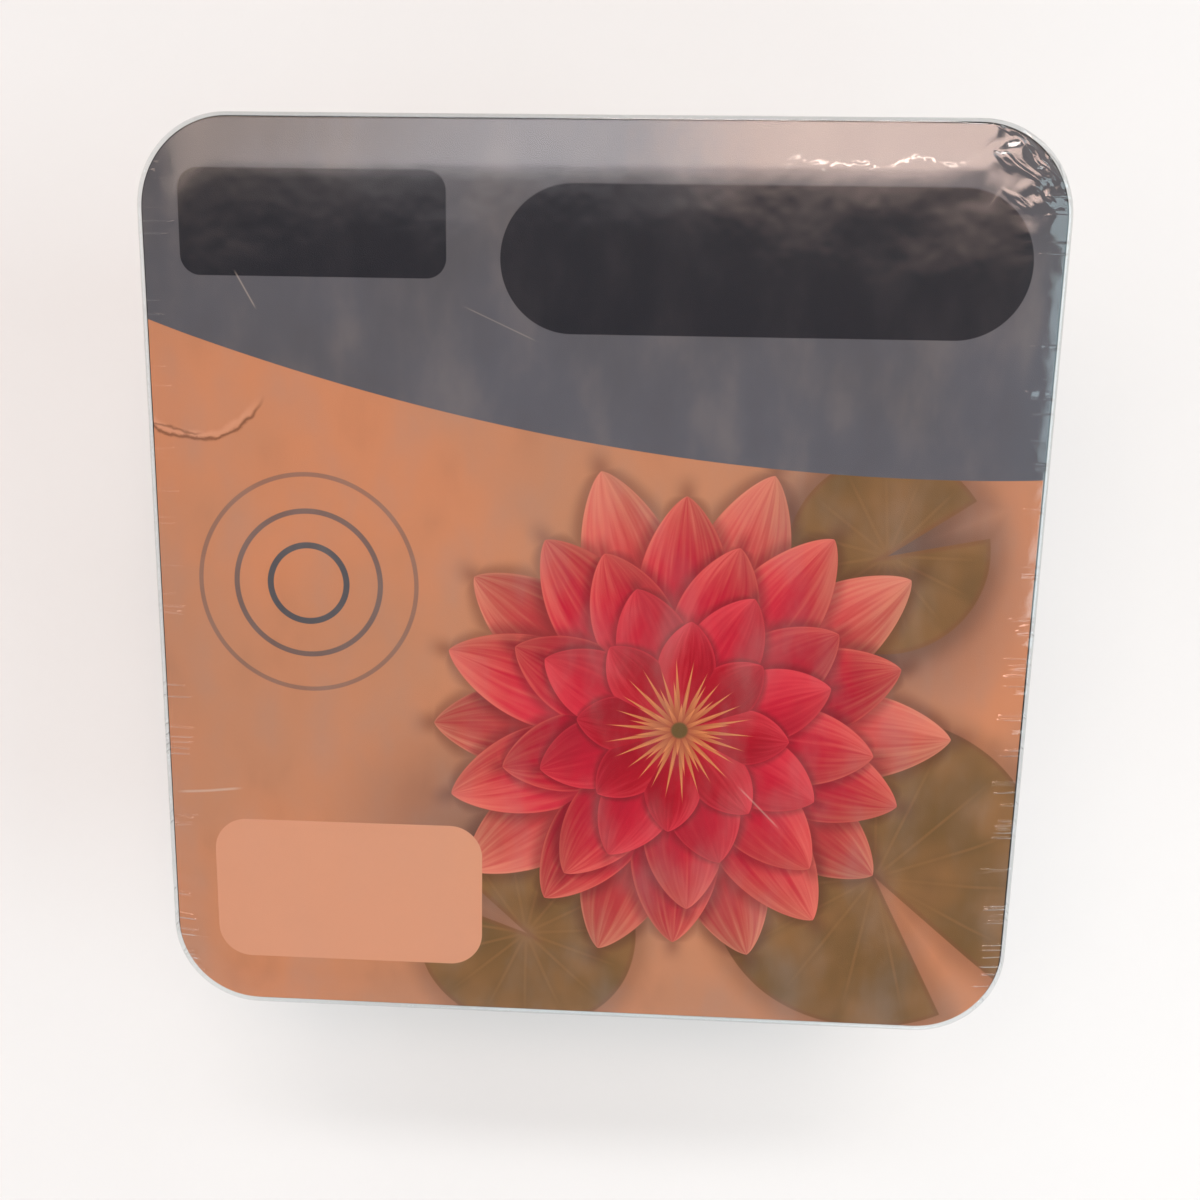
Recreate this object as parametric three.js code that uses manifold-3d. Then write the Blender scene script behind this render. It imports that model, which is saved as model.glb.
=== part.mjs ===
// Sealed retail pack of a water lily planting kit: a square pond basket with its contents, a die-cut printed
// card on the basket's rim, and a clear shrink sleeve round all of it.
// Millimetres. The pack lies on its base with the printed face up (+Z); +Y points to the print's top edge.
import * as THREE from "three";
import { mergeVertices } from "three/addons/utils/BufferGeometryUtils.js";
import Module from "manifold-3d";

const wasm = await Module();
wasm.setup();

// ---- Driving dimensions -------------------------------------------------------------------------

const PACK_HALF_X = 103; // half the width over the film at the rim
const PACK_HALF_Y = 106.5; // half the length over the film at the rim
const BASKET_HEIGHT = 99;
const CORNER_RADIUS = 21; // of the pack's outline, seen from above
const CORNER_STEPS = 8; // straight pieces in each quarter-round corner

const FILM = 0.3; // film thickness
const CARD = 0.8; // card thickness
const SEAT = 0.3; // clearance between a piece and what carries it

const WALL = 2; // basket wall and floor
const RIM_WIDTH = 8; // flange, from the wall's outside to the lip's outside
const RIM_DROOP = 1.4; // fall of the flange from the wall out to the lip
const LIP_HEIGHT = 8;
const LIP_THICKNESS = 1.6;
const TAPER = 10.5; // how far each wall leans in from the flange to the base
const BASE_EDGE = 3; // bevel along the base's edge

const SLOT_WIDTH = 3.2; // the slots in the basket's walls
const SLOT_HEIGHT = 19;
const SLOT_PITCH = 12;
const SLOTS_PER_ROW = 11;
const SLOT_ROWS = [10, 35, 60]; // height of each row's lower end above the basket's underside
const FLOOR_SLOT = { length: 20.8, pitch: 24, rows: 5 }; // in the floor, in line with the wall's columns
const RIBS = { heights: [32, 57], width: 2.5, depth: 1.2 }; // round the walls, between the rows of slots

const EYE_HALF_Y = 46; // the oval opening that the sleeve leaves at each side of the pack
const EYE_HALF_Z = 23;
const EYE_HEIGHT = 51; // of its centre

const SOIL = { halfX: 72, halfY: 55, height: 47, y: -25, seal: 8, steps: [18, 14] };
const GRAVEL = { halfX: 68, halfY: 24, height: 39, y: 57, seal: 7, steps: [18, 8] };
const ROOT_BAG = { halfX: 53, halfY: 30, height: 34, y: -27, seal: 7, steps: [16, 10] };
const FEED = { halfX: 42, halfY: 18, height: 6, y: 57, seal: 6, steps: [14, 6] };
const BAG_SEAM = 0.8; // thickness of a bag's flat seam
const SACHET_SEAM = 0.5;
const ROOT_BAG_WALL = 0.6;
const VENT_RADIUS = 2.5;

const LEAFLET = { length: 105, width: 74, sheet: 0.3, panels: 3, y: -27 };

const ROOTSTOCK = { length: 62, radius: 12.5, flat: 10.5, x: -4 };
const SCARS = { rows: 5, columns: 4, relief: 0.09 }; // leaf scars on the rootstock
const SHOOTS = [[0, 0, 14], [28, 40, 12], [26, 150, 11], [30, 265, 10]]; // tilt and turn in degrees, length
const ROOTS = 8;

// ---- Levels and outlines that follow from them --------------------------------------------------

const basketBottom = FILM + SEAT;
const basketFloor = basketBottom + WALL;
const rimTop = basketBottom + BASKET_HEIGHT;
const rimOuter = [PACK_HALF_X - FILM - SEAT, PACK_HALF_Y - FILM - SEAT];
const rimRadius = CORNER_RADIUS - FILM - SEAT;
const lipBottom = rimTop - RIM_DROOP - LIP_HEIGHT;

// Half-sizes and corner radius of the rim's outline, drawn in by inset.
const outline = (inset) => [rimOuter[0] - inset, rimOuter[1] - inset, rimRadius - 0.5 * inset];
const WALL_TOP = outline(RIM_WIDTH);
const WALL_BASE = outline(RIM_WIDTH + TAPER);

// The outline of the wall's outside at a height, pushed out by a margin.
function wallAt(z, out = 0) {
  const rise = (z - basketBottom - BASE_EDGE) / (rimTop - WALL - basketBottom - BASE_EDGE);
  return outline(RIM_WIDTH + TAPER * (1 - rise) - out);
}

// ---- Shape helpers ------------------------------------------------------------------------------

// A level ring of points: a rectangle with rounded corners, anticlockwise seen from above.
function roundedRing([halfX, halfY, radius], z) {
  const points = [];
  for (const [signX, signY, start] of [[1, 1, 0], [-1, 1, 90], [-1, -1, 180], [1, -1, 270]]) {
    for (let step = 0; step <= CORNER_STEPS; step++) {
      const angle = THREE.MathUtils.degToRad(start + (90 * step) / CORNER_STEPS);
      points.push(new THREE.Vector3(
        signX * (halfX - radius) + radius * Math.cos(angle),
        signY * (halfY - radius) + radius * Math.sin(angle),
        z,
      ));
    }
  }
  return points;
}

// The outline grown by a margin on every side.
const grown = ([halfX, halfY, radius], by) => [halfX + by, halfY + by, radius + by];

// A closed body through a list of rings with equally many points, capped flat at both ends.
function loft(rings) {
  const count = rings[0].length;
  const centre = (ring) => ring.reduce((sum, p) => sum.add(p), new THREE.Vector3()).divideScalar(count);
  const points = [...rings.flat(), centre(rings[0]), centre(rings.at(-1))];
  const firstCap = points.length - 2;
  const lastRing = (rings.length - 1) * count;
  const faces = [];
  for (let i = 0; i < count; i++) {
    const next = (i + 1) % count;
    faces.push(firstCap, next, i, firstCap + 1, lastRing + i, lastRing + next);
    for (let ring = 0; ring < lastRing; ring += count) {
      faces.push(ring + i, ring + next, ring + count + next, ring + i, ring + count + next, ring + count + i);
    }
  }
  return new THREE.BufferGeometry().setFromPoints(points).setIndex(faces);
}

// A pillow bag: two crowned faces that meet in a flat seam, flat where it lies, with a seal across each end.
function pillow({ halfX, halfY, height, seal, steps: [columns, rows] }, seam = BAG_SEAM) {
  const seamZ = 0.42 * height;
  const waist = (t) => 1 - 0.035 * (1 - t * t); // the sides pull in between the corners
  const fullness = (u, v) => {
    const x = Math.min(1, (Math.abs(u) * halfX) / (halfX - seal));
    return Math.sqrt(Math.max(0, (1 - x ** 4) * (1 - v ** 4)));
  };
  const points = [];
  for (const side of [1, -1]) {
    for (let j = 0; j <= rows; j++) {
      for (let i = 0; i <= columns; i++) {
        const u = (2 * i) / columns - 1;
        const v = (2 * j) / rows - 1;
        const full = side > 0 ? fullness(u, v) : Math.min(1, 1.3 * fullness(u, v));
        const reach = (side > 0 ? height - seamZ : seamZ) - seam / 2;
        const z = seamZ + side * (seam / 2 + reach * full);
        points.push(new THREE.Vector3(halfX * u * waist(v), halfY * v * waist(u), z));
      }
    }
  }
  const layer = (columns + 1) * (rows + 1);
  const at = (i, j) => j * (columns + 1) + i;
  const faces = [];
  for (let j = 0; j < rows; j++) {
    for (let i = 0; i < columns; i++) {
      const [a, b, c, d] = [at(i, j), at(i + 1, j), at(i + 1, j + 1), at(i, j + 1)];
      faces.push(a, b, c, a, c, d, layer + a, layer + c, layer + b, layer + a, layer + d, layer + c);
    }
  }
  const border = [];
  for (let i = 0; i < columns; i++) border.push(at(i, 0));
  for (let j = 0; j < rows; j++) border.push(at(columns, j));
  for (let i = columns; i > 0; i--) border.push(at(i, rows));
  for (let j = rows; j > 0; j--) border.push(at(0, j));
  border.forEach((here, k) => {
    const next = border[(k + 1) % border.length];
    faces.push(layer + here, layer + next, next, layer + here, next, here);
  });
  return new THREE.BufferGeometry().setFromPoints(points).setIndex(faces);
}

// ---- Joining and cutting ------------------------------------------------------------------------

function toSolid(geometry) {
  const bare = geometry.clone();
  bare.deleteAttribute("normal");
  bare.deleteAttribute("uv");
  const merged = mergeVertices(bare, 1e-4);
  return new wasm.Manifold(new wasm.Mesh({
    numProp: 3,
    vertProperties: new Float32Array(merged.attributes.position.array),
    triVerts: new Uint32Array(merged.index.array),
  }));
}

function toGeometry(solid) {
  const mesh = solid.getMesh();
  const geometry = new THREE.BufferGeometry();
  geometry.setAttribute("position", new THREE.BufferAttribute(mesh.vertProperties, 3));
  geometry.setIndex(new THREE.BufferAttribute(mesh.triVerts, 1));
  return geometry;
}

const joined = (geometries) => toGeometry(geometries.map(toSolid).reduce((whole, solid) => whole.add(solid)));

const cut = (geometry, tools) =>
  toGeometry(tools.map(toSolid).reduce((whole, tool) => whole.subtract(tool), toSolid(geometry)));

const box = (sizeX, sizeY, sizeZ, x, y, z) => new THREE.BoxGeometry(sizeX, sizeY, sizeZ).translate(x, y, z);

// ---- Basket: one injection-moulded piece --------------------------------------------------------

const spaced = (count, pitch) => Array.from({ length: count }, (_, k) => (k - (count - 1) / 2) * pitch);
const slotColumns = spaced(SLOTS_PER_ROW, SLOT_PITCH);

function wallSlots() {
  const slots = [];
  const through = 5 * WALL;
  for (const low of SLOT_ROWS) {
    const z = basketBottom + low + SLOT_HEIGHT / 2;
    const [x, y] = wallAt(z, -WALL / 2);
    for (const along of slotColumns) {
      for (const side of [-1, 1]) {
        slots.push(box(through, SLOT_WIDTH, SLOT_HEIGHT, side * x, along, z));
        slots.push(box(SLOT_WIDTH, through, SLOT_HEIGHT, along, side * y, z));
      }
    }
  }
  return slots;
}

function floorSlots() {
  const rows = spaced(FLOOR_SLOT.rows, FLOOR_SLOT.pitch);
  const floorMiddle = basketBottom + WALL / 2;
  return slotColumns.flatMap((x) =>
    rows.map((y) => box(SLOT_WIDTH, FLOOR_SLOT.length, 3 * WALL, x, y, floorMiddle)));
}

// One rib's four rings, from its lower edge to its upper edge.
function ribRings(height) {
  const [low, high] = [basketBottom + height - RIBS.width / 2, basketBottom + height + RIBS.width / 2];
  return [[low, 0], [low, RIBS.depth], [high, RIBS.depth], [high, 0]]
    .map(([z, out]) => roundedRing(wallAt(z, out), z));
}

function basketGeometry() {
  const lipInner = outline(LIP_THICKNESS);
  const flangeUnder = rimTop - WALL;
  const body = loft([
    roundedRing(grown(WALL_BASE, -BASE_EDGE), basketBottom),
    roundedRing(WALL_BASE, basketBottom + BASE_EDGE),
    ...RIBS.heights.flatMap(ribRings),
    roundedRing(WALL_TOP, flangeUnder),
    roundedRing(lipInner, flangeUnder - RIM_DROOP),
    roundedRing(lipInner, lipBottom),
    roundedRing(outline(0), lipBottom),
    roundedRing(outline(0), rimTop - RIM_DROOP),
    roundedRing(grown(WALL_TOP, -WALL), rimTop),
    roundedRing(grown(WALL_BASE, -WALL), basketFloor),
  ]);
  return cut(body, [...wallSlots(), ...floorSlots()]);
}

// ---- Card: die-cut board on the rim, its margin pulled down with the flange ---------------------

function cardGeometry() {
  const flat = grown(WALL_TOP, -WALL);
  const edge = outline(0.8);
  const inner = rimTop + SEAT;
  const outer = rimTop - RIM_DROOP + SEAT;
  return loft([
    roundedRing(flat, inner),
    roundedRing(edge, outer),
    roundedRing(edge, outer + CARD),
    roundedRing(flat, inner + CARD),
  ]);
}

// ---- Film: a sleeve shrunk onto the pack, drawn in to an oval at each side ----------------------

// The taut shape round rim, card and base, at a distance from them.
function wrapAt(distance) {
  const shoulder = rimTop - RIM_DROOP + SEAT + CARD; // the card's upper edge
  return loft([
    roundedRing(grown(WALL_BASE, -BASE_EDGE), basketBottom - distance),
    roundedRing(grown(WALL_BASE, distance), basketBottom + BASE_EDGE),
    roundedRing(grown(outline(0), distance), lipBottom),
    roundedRing(grown(outline(0), distance), shoulder - CARD + distance),
    roundedRing(grown(outline(1.2), distance), shoulder + distance),
    roundedRing(grown(WALL_TOP, -WALL), rimTop + SEAT + CARD + distance),
  ]);
}

function filmGeometry() {
  const eyes = new THREE.CylinderGeometry(1, 1, 2 * PACK_HALF_X + 20, 28)
    .rotateZ(Math.PI / 2)
    .scale(1, EYE_HALF_Y, EYE_HALF_Z)
    .translate(0, 0, EYE_HEIGHT);
  return cut(wrapAt(SEAT + FILM), [wrapAt(SEAT), eyes]);
}

// ---- Contents -----------------------------------------------------------------------------------

// One sheet folded to and fro: flat panels joined along alternate edges.
function leafletGeometry() {
  const { length, width, sheet, panels } = LEAFLET;
  const layers = [];
  for (let panel = 0; panel < panels; panel++) {
    layers.push(box(length, width, sheet, 0, 0, (2 * panel + 0.5) * sheet));
    if (panel > 0) {
      const side = panel % 2 === 1 ? 1 : -1;
      layers.push(box(length, sheet, 3 * sheet, 0, (side * (width - sheet)) / 2, (2 * panel - 0.5) * sheet));
    }
  }
  return joined(layers);
}

// A thin bag that holds the rootstock, with round vents through its upper face.
function rootBagGeometry() {
  const { halfX, halfY, height, seal } = ROOT_BAG;
  const inside = {
    ...ROOT_BAG,
    halfX: halfX - seal - 2 * ROOT_BAG_WALL,
    halfY: halfY - 2 * ROOT_BAG_WALL,
    height: height - 2 * ROOT_BAG_WALL,
    seal: 0,
  };
  const vents = [-24, 0, 24].map((x) =>
    new THREE.CylinderGeometry(VENT_RADIUS, VENT_RADIUS, height, 8)
      .rotateX(Math.PI / 2)
      .translate(x, 12, height));
  return cut(pillow(ROOT_BAG), [pillow(inside, ROOT_BAG_WALL / 2).translate(0, 0, ROOT_BAG_WALL), ...vents]);
}

// The rootstock's body, lying along X: a blunt spindle with leaf scars in staggered rows, flattened below.
function rootstockBody() {
  const { length, radius, flat } = ROOTSTOCK;
  const [ringCount, sides] = [20, 18];
  const rings = [];
  for (let i = 0; i <= ringCount; i++) {
    const along = (2 * i) / ringCount - 1;
    const girth = radius * (0.3 + 0.7 * Math.sqrt(1 - along ** 4));
    const ring = [];
    for (let j = 0; j < sides; j++) {
      const angle = (2 * Math.PI * j) / sides;
      const scar = Math.cos(SCARS.columns * angle) * Math.cos(Math.PI * SCARS.rows * along);
      const reach = girth * (1 + SCARS.relief * scar);
      const z = Math.max(-flat, reach * Math.sin(angle));
      ring.push(new THREE.Vector3((along * length) / 2, reach * Math.cos(angle), z));
    }
    rings.push(ring);
  }
  return loft(rings);
}

// Young shoots: furled leaves at the growing end.
function shootGeometry([tilt, turn, reach]) {
  const profile = [[0, 0], [2.6, 0], [3.1, 0.35 * reach], [1.5, 0.8 * reach], [0, reach]];
  return new THREE.LatheGeometry(profile.map(([r, y]) => new THREE.Vector2(r, y)), 7)
    .rotateZ(THREE.MathUtils.degToRad(tilt - 90))
    .rotateX(THREE.MathUtils.degToRad(turn))
    .translate(ROOTSTOCK.length / 2 - 5, 0, 0);
}

// Cut roots, in pairs along both flanks.
function rootGeometry(index) {
  const side = index % 2 === 0 ? 1 : -1;
  const x = 18 - 11 * Math.floor(index / 2) - 3 * (index % 2);
  const path = new THREE.CatmullRomCurve3([
    new THREE.Vector3(x, side * 5, -2),
    new THREE.Vector3(x - 3, side * 14, -4),
    new THREE.Vector3(x - 9, side * 20, -4),
  ]);
  const section = new THREE.Shape(Array.from({ length: 6 }, (_, k) =>
    new THREE.Vector2(1.4 * Math.cos((k * Math.PI) / 3), 1.4 * Math.sin((k * Math.PI) / 3))));
  return new THREE.ExtrudeGeometry(section, { steps: 6, extrudePath: path });
}

function rootstockGeometry() {
  const roots = Array.from({ length: ROOTS }, (_, index) => rootGeometry(index));
  return joined([rootstockBody(), ...SHOOTS.map(shootGeometry), ...roots]);
}

// ---- The pack -----------------------------------------------------------------------------------

const soilLevel = basketFloor + SEAT;
const leafletLevel = soilLevel + SOIL.height + SEAT;
const rootBagLevel = leafletLevel + (2 * LEAFLET.panels - 1) * LEAFLET.sheet + SEAT;
const rootstockLevel = rootBagLevel + ROOT_BAG_WALL + SEAT + ROOTSTOCK.flat;
const feedLevel = soilLevel + GRAVEL.height + SEAT;

const pack = new THREE.Group();

function add(name, geometry, finish, [x, y, z] = [0, 0, 0]) {
  const mesh = new THREE.Mesh(geometry, new THREE.MeshStandardMaterial({ metalness: 0, ...finish }));
  mesh.name = name;
  mesh.position.set(x, y, z);
  pack.add(mesh);
}

const clear = (color, opacity) => ({ color, roughness: 0.12, transparent: true, opacity });

add("basket", basketGeometry(), { color: 0x1d1f1e, roughness: 0.6 });
add("printed_card", cardGeometry(), { color: 0xbd8463, roughness: 0.55 });
add("shrink_film", filmGeometry(), clear(0xeef2f2, 0.18));
add("soil_bag", pillow(SOIL), { color: 0x35271c, roughness: 0.35 }, [0, SOIL.y, soilLevel]);
add("gravel_bag", pillow(GRAVEL), { color: 0x8f8a80, roughness: 0.4 }, [0, GRAVEL.y, soilLevel]);
add("leaflet", leafletGeometry(), { color: 0xe7e2d7, roughness: 0.8 }, [0, LEAFLET.y, leafletLevel]);
add("rhizome_bag", rootBagGeometry(), clear(0xdfe6e3, 0.35), [0, ROOT_BAG.y, rootBagLevel]);
add("rhizome", rootstockGeometry(), { color: 0x6a4a2f, roughness: 0.85 },
  [ROOTSTOCK.x, ROOT_BAG.y, rootstockLevel]);
add("feed_sachet", pillow(FEED, SACHET_SEAM), { color: 0xb9c3c6, roughness: 0.3 }, [0, FEED.y, feedLevel]);

export default pack;
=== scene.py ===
# A sealed retail pack of a water lily planting kit: a slotted pond basket with its contents, a printed
# card on the basket's rim, and a clear shrink sleeve round all of it.
# Metres. The pack lies on its base with the printed face up (+Z); +Y points to the print's top edge.
import math

import bmesh
import bpy
import numpy as np
from mathutils import Matrix, Vector


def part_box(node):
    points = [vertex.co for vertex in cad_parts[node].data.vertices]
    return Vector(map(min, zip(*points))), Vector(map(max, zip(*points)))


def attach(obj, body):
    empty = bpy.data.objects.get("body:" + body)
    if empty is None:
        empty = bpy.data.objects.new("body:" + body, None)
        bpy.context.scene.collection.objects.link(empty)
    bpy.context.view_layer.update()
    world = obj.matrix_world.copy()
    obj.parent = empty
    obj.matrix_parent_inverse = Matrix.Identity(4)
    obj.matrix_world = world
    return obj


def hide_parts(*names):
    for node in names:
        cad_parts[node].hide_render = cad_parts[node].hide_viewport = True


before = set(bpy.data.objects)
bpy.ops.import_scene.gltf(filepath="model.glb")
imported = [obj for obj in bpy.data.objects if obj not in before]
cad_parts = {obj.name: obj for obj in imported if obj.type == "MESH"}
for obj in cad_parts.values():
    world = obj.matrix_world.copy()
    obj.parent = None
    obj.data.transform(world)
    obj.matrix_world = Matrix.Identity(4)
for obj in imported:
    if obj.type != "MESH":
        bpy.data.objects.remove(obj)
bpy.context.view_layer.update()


# ---- View ---------------------------------------------------------------------------------------
# The pack is seen from above by a camera held 25 cm over its face, a little towards the top edge of
# the print, so the top of the face looks wider than its foot and no side wall shows.

CAMERA_PLACE = Vector((0.0138, 0.0462, 0.3517))
CAMERA_AIM = Vector((0.0025, -0.0003, 0.099))
CAMERA_ROLL = 0.020  # radians
LENS_LENGTH = 33  # mm
SENSOR_WIDTH = 36


def aimed(place, aim, roll=0.0):
    """The matrix of a camera or lamp at a place, looking at another, with +Y towards its top."""
    back = (place - aim).normalized()
    right = Vector((0, 1, 0)).cross(back).normalized()
    turned = Matrix((right, back.cross(right), back)).transposed().to_4x4()
    return Matrix.Translation(place) @ turned @ Matrix.Rotation(roll, 4, "Z")


camera = bpy.data.objects.new("camera", bpy.data.cameras.new("camera"))
camera.data.lens = LENS_LENGTH
camera.data.sensor_width = SENSOR_WIDTH
camera.matrix_world = aimed(CAMERA_PLACE, CAMERA_AIM, CAMERA_ROLL)
bpy.context.scene.collection.objects.link(camera)
bpy.context.scene.camera = camera


# ---- Basket -------------------------------------------------------------------------------------
# The pond basket is one injection-moulded piece of black plastic: a tapered square tub with rows of
# slots through its walls and floor, two ribs round it, and a drooping flange with a turned-down lip.

BASKET_WALL = 0.002
RIM_WIDTH = 0.008  # from the wall's outside to the lip's outside
RIM_RADIUS = 0.0204  # of the rim's corners
RIM_DROOP = 0.0014  # fall of the flange to the lip
BEND_WIDTH = 0.010  # of the band along the edge that droops
LIP_HEIGHT = 0.008
LIP_THICKNESS = 0.0016
TAPER = 0.0105  # how far each wall leans in down to the base
BASE_ROUND = 0.003  # round along the base's edge
RIB_HEIGHTS = (0.032, 0.057)
RIB_WIDTH = 0.0025
RIB_DEPTH = 0.0012
WALL_SLOTS = {"Slot width": 0.0032, "Slot length": 0.019, "Depth": 0.05, "Columns": 11, "Rows": 3,
              "Column pitch": 0.012, "Row pitch": 0.025}
WALL_SLOT_REACH = 0.093  # from the basket's axis to the middle of the tool that makes them
WALL_SLOT_HEIGHT = 0.0445  # of the middle row over the basket's underside
FLOOR_SLOTS = {"Slot width": 0.0032, "Slot length": 0.0208, "Depth": 0.012, "Columns": 11, "Rows": 5,
               "Column pitch": 0.012, "Row pitch": 0.024}
GATE_RADIUS = 0.004  # mark of the mould's gate under the floor


def operator(operation, turned=False):
    """A method of Wire that adds a Math node; turned makes the reflected form, as in 1 - mask."""
    def method(self, other):
        return self.maths(operation, *((other, self) if turned else (self, other)))
    return method


class Wire:
    """One output in a node tree. Python's operators on it add Math nodes, and node() adds any other."""

    def __init__(self, tree, socket=None):
        self.tree = tree
        self.socket = socket

    def node(self, kind, settings=None, values=None, output=0):
        """Adds a node, sets it up, and fills its sockets with values or with other wires."""
        made = self.tree.nodes.new(kind)
        for name, value in (settings or {}).items():
            setattr(made, name, value)
        for place, value in (values or {}).items():
            if isinstance(value, Wire):
                self.tree.links.new(value.socket, made.inputs[place])
            else:
                made.inputs[place].default_value = value
        return Wire(self.tree, made.outputs[output] if made.outputs else None)

    def maths(self, operation, *values):
        return self.node("ShaderNodeMath", {"operation": operation}, dict(enumerate(values or (self,))))

    __add__, __radd__ = operator("ADD"), operator("ADD", True)
    __sub__, __rsub__ = operator("SUBTRACT"), operator("SUBTRACT", True)
    __mul__, __rmul__ = operator("MULTIPLY"), operator("MULTIPLY", True)
    __truediv__, __rtruediv__ = operator("DIVIDE"), operator("DIVIDE", True)
    __pow__ = operator("POWER")
    __mod__ = operator("FLOORED_MODULO")
    least = operator("MINIMUM")
    most = operator("MAXIMUM")

    def __abs__(self):
        return self.maths("ABSOLUTE")

    def smooth(self, low, high):
        """0 up to low and 1 from high on, with a soft step between; low may be the higher one."""
        settings = {"interpolation_type": "SMOOTHSTEP"}
        return self.node("ShaderNodeMapRange", settings, {0: self, 1: low, 2: high})

    def within(self, start, full, fading, end):
        """1 from full to fading, and 0 before start and past end."""
        return self.smooth(start, full) * self.smooth(end, fading)

    def mixed(self, first, second):
        """The first colour where this is 0, and the second where it is 1."""
        return self.node("ShaderNodeMix", {"data_type": "RGBA"}, {0: self, 6: first, 7: second}, 2)

    def part(self, axis):
        """One of the three numbers of a place."""
        return self.node("ShaderNodeSeparateXYZ", None, {0: self}, axis)

    def at(self, *numbers):
        """A place put together from numbers or wires."""
        return self.node("ShaderNodeCombineXYZ", None, dict(enumerate(numbers)))

    def noise(self, scale, detail=2.0):
        return self.node("ShaderNodeTexNoise", None, {"Vector": self, "Scale": scale, "Detail": detail})

    def mirroring(self, normal):
        """How much of the light a clear film throws back off both its sides together."""
        facing = self.node("ShaderNodeLayerWeight", None, {"Blend": 0.5, "Normal": normal}, "Facing")
        return 0.066 + facing ** 5 * 0.88

    def bump(self, height, depth):
        """Normals for a relief of that depth in metres, where height goes from 0 to 1."""
        return self.node("ShaderNodeBump", None, {"Height": height, "Distance": depth})


def hypot(x, y):
    """What math.hypot gives, for two wires."""
    return (x ** 2 + y ** 2) ** 0.5


def colour(red, green, blue):
    """A colour given by its screen levels from 0 to 255."""
    levels = (np.array([red, green, blue]) / 255).tolist()
    return (*(c / 12.92 if c <= 0.04045 else ((c + 0.055) / 1.055) ** 2.4 for c in levels), 1.0)


def finish(name, draw):
    """A material. draw() gets the place on the piece and returns the shader's values by socket."""
    made = bpy.data.materials.new(name)
    made.use_nodes = True
    made.node_tree.nodes.clear()
    place = Wire(made.node_tree).node("ShaderNodeTexCoord", output="Object")
    drawn = draw(place)
    if not isinstance(drawn, Wire):
        drawn = place.node("ShaderNodeBsdfPrincipled", None, drawn)
    place.node("ShaderNodeOutputMaterial", None, {"Surface": drawn})
    return made


def track(corner_steps, steps_x=1, steps_y=1):
    """Stations round a rounded rectangle, anticlockwise from +X: the corner or the point between two
    corners that each belongs to, and the direction from there to the edge."""
    corners = [(1, 1), (-1, 1), (-1, -1), (1, -1)]
    stations = []
    for quarter, corner in enumerate(corners):
        following = corners[(quarter + 1) % 4]
        for angle in np.arange(corner_steps) * math.pi / 2 / corner_steps + quarter * math.pi / 2:
            stations.append((*corner, math.cos(angle), math.sin(angle)))
        facing = (quarter + 1) * math.pi / 2
        steps = steps_y if quarter % 2 else steps_x
        for share in np.arange(steps) / steps:
            between = np.array(corner) * (1 - share) + np.array(following) * share
            stations.append((*between, math.cos(facing), math.sin(facing)))
    return np.array(stations)


def ring(stations, half_x, half_y, radius, z):
    """Points on a rounded rectangle, one for each station."""
    centres = stations[:, :2] * (half_x - radius, half_y - radius)
    heights = np.broadcast_to(z, len(stations))
    return np.column_stack([centres + stations[:, 2:] * radius, heights])


class Shell:
    """A surface put together from tables of points. Tables that meet share the points of their border."""

    def __init__(self):
        self.points = []
        self.faces = []
        self.finishes = []

    def add(self, points, faces, finish_number):
        first = len(self.points)
        self.points.extend(np.reshape(points, (-1, 3)))
        self.faces.extend(tuple(first + corner for corner in face) for face in faces)
        self.finishes.extend([finish_number] * len(faces))

    def table(self, rows, closed=True, finish_number=0):
        """Quads over rows of points. Closed rows join their last point to their first."""
        rows = np.asarray(rows)
        count, width = rows.shape[:2]
        faces = []
        for row in range(count - 1):
            for column in range(width if closed else width - 1):
                here = row * width + column
                beside = row * width + (column + 1) % width
                faces.append((here, beside, beside + width, here + width))
        self.add(rows, faces, finish_number)

    def lid(self, rim, finish_number=0):
        """One flat face inside a ring of points."""
        self.add(rim, [tuple(range(len(rim)))], finish_number)

    def seam(self, outer, inner, finish_number=0):
        """Triangles between two rings that go round the same way with different numbers of points."""
        turns = []
        for points in (outer, inner):
            angles = np.unwrap(np.arctan2(points[:, 1], points[:, 0]))
            turns.append(np.append(angles, angles[0] + 2 * math.pi))
        steps = [0, 0]
        counts = (len(outer), len(inner))
        faces = []
        while steps[0] < counts[0] or steps[1] < counts[1]:
            here = (steps[0] % counts[0], counts[0] + steps[1] % counts[1])
            ahead = [turns[side][min(steps[side] + 1, counts[side])] for side in (0, 1)]
            side = 0 if steps[1] == counts[1] or (steps[0] < counts[0] and ahead[0] <= ahead[1]) else 1
            steps[side] += 1
            reached = steps[side] % counts[side] + (counts[0] if side else 0)
            faces.append((*here, reached))
        self.add(np.vstack([outer, inner]), faces, finish_number)

    def piece(self, name, *finishes, sharp=35):
        """The object: shared points merged, faces turned outwards, and edges over that angle kept."""
        mesh = bpy.data.meshes.new(name)
        mesh.from_pydata(np.array(self.points).tolist(), [], self.faces)
        mesh.polygons.foreach_set("material_index", self.finishes)
        work = bmesh.new()
        work.from_mesh(mesh)
        bmesh.ops.remove_doubles(work, verts=work.verts, dist=1e-6)
        bmesh.ops.dissolve_degenerate(work, edges=work.edges, dist=1e-7)
        bmesh.ops.recalc_face_normals(work, faces=work.faces)
        work.to_mesh(mesh)
        work.free()
        mesh.shade_smooth()
        mesh.set_sharp_from_angle(angle=math.radians(sharp))
        for made in finishes:
            mesh.materials.append(made)
        made = bpy.data.objects.new(name, mesh)
        bpy.context.scene.collection.objects.link(made)
        return made


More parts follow.
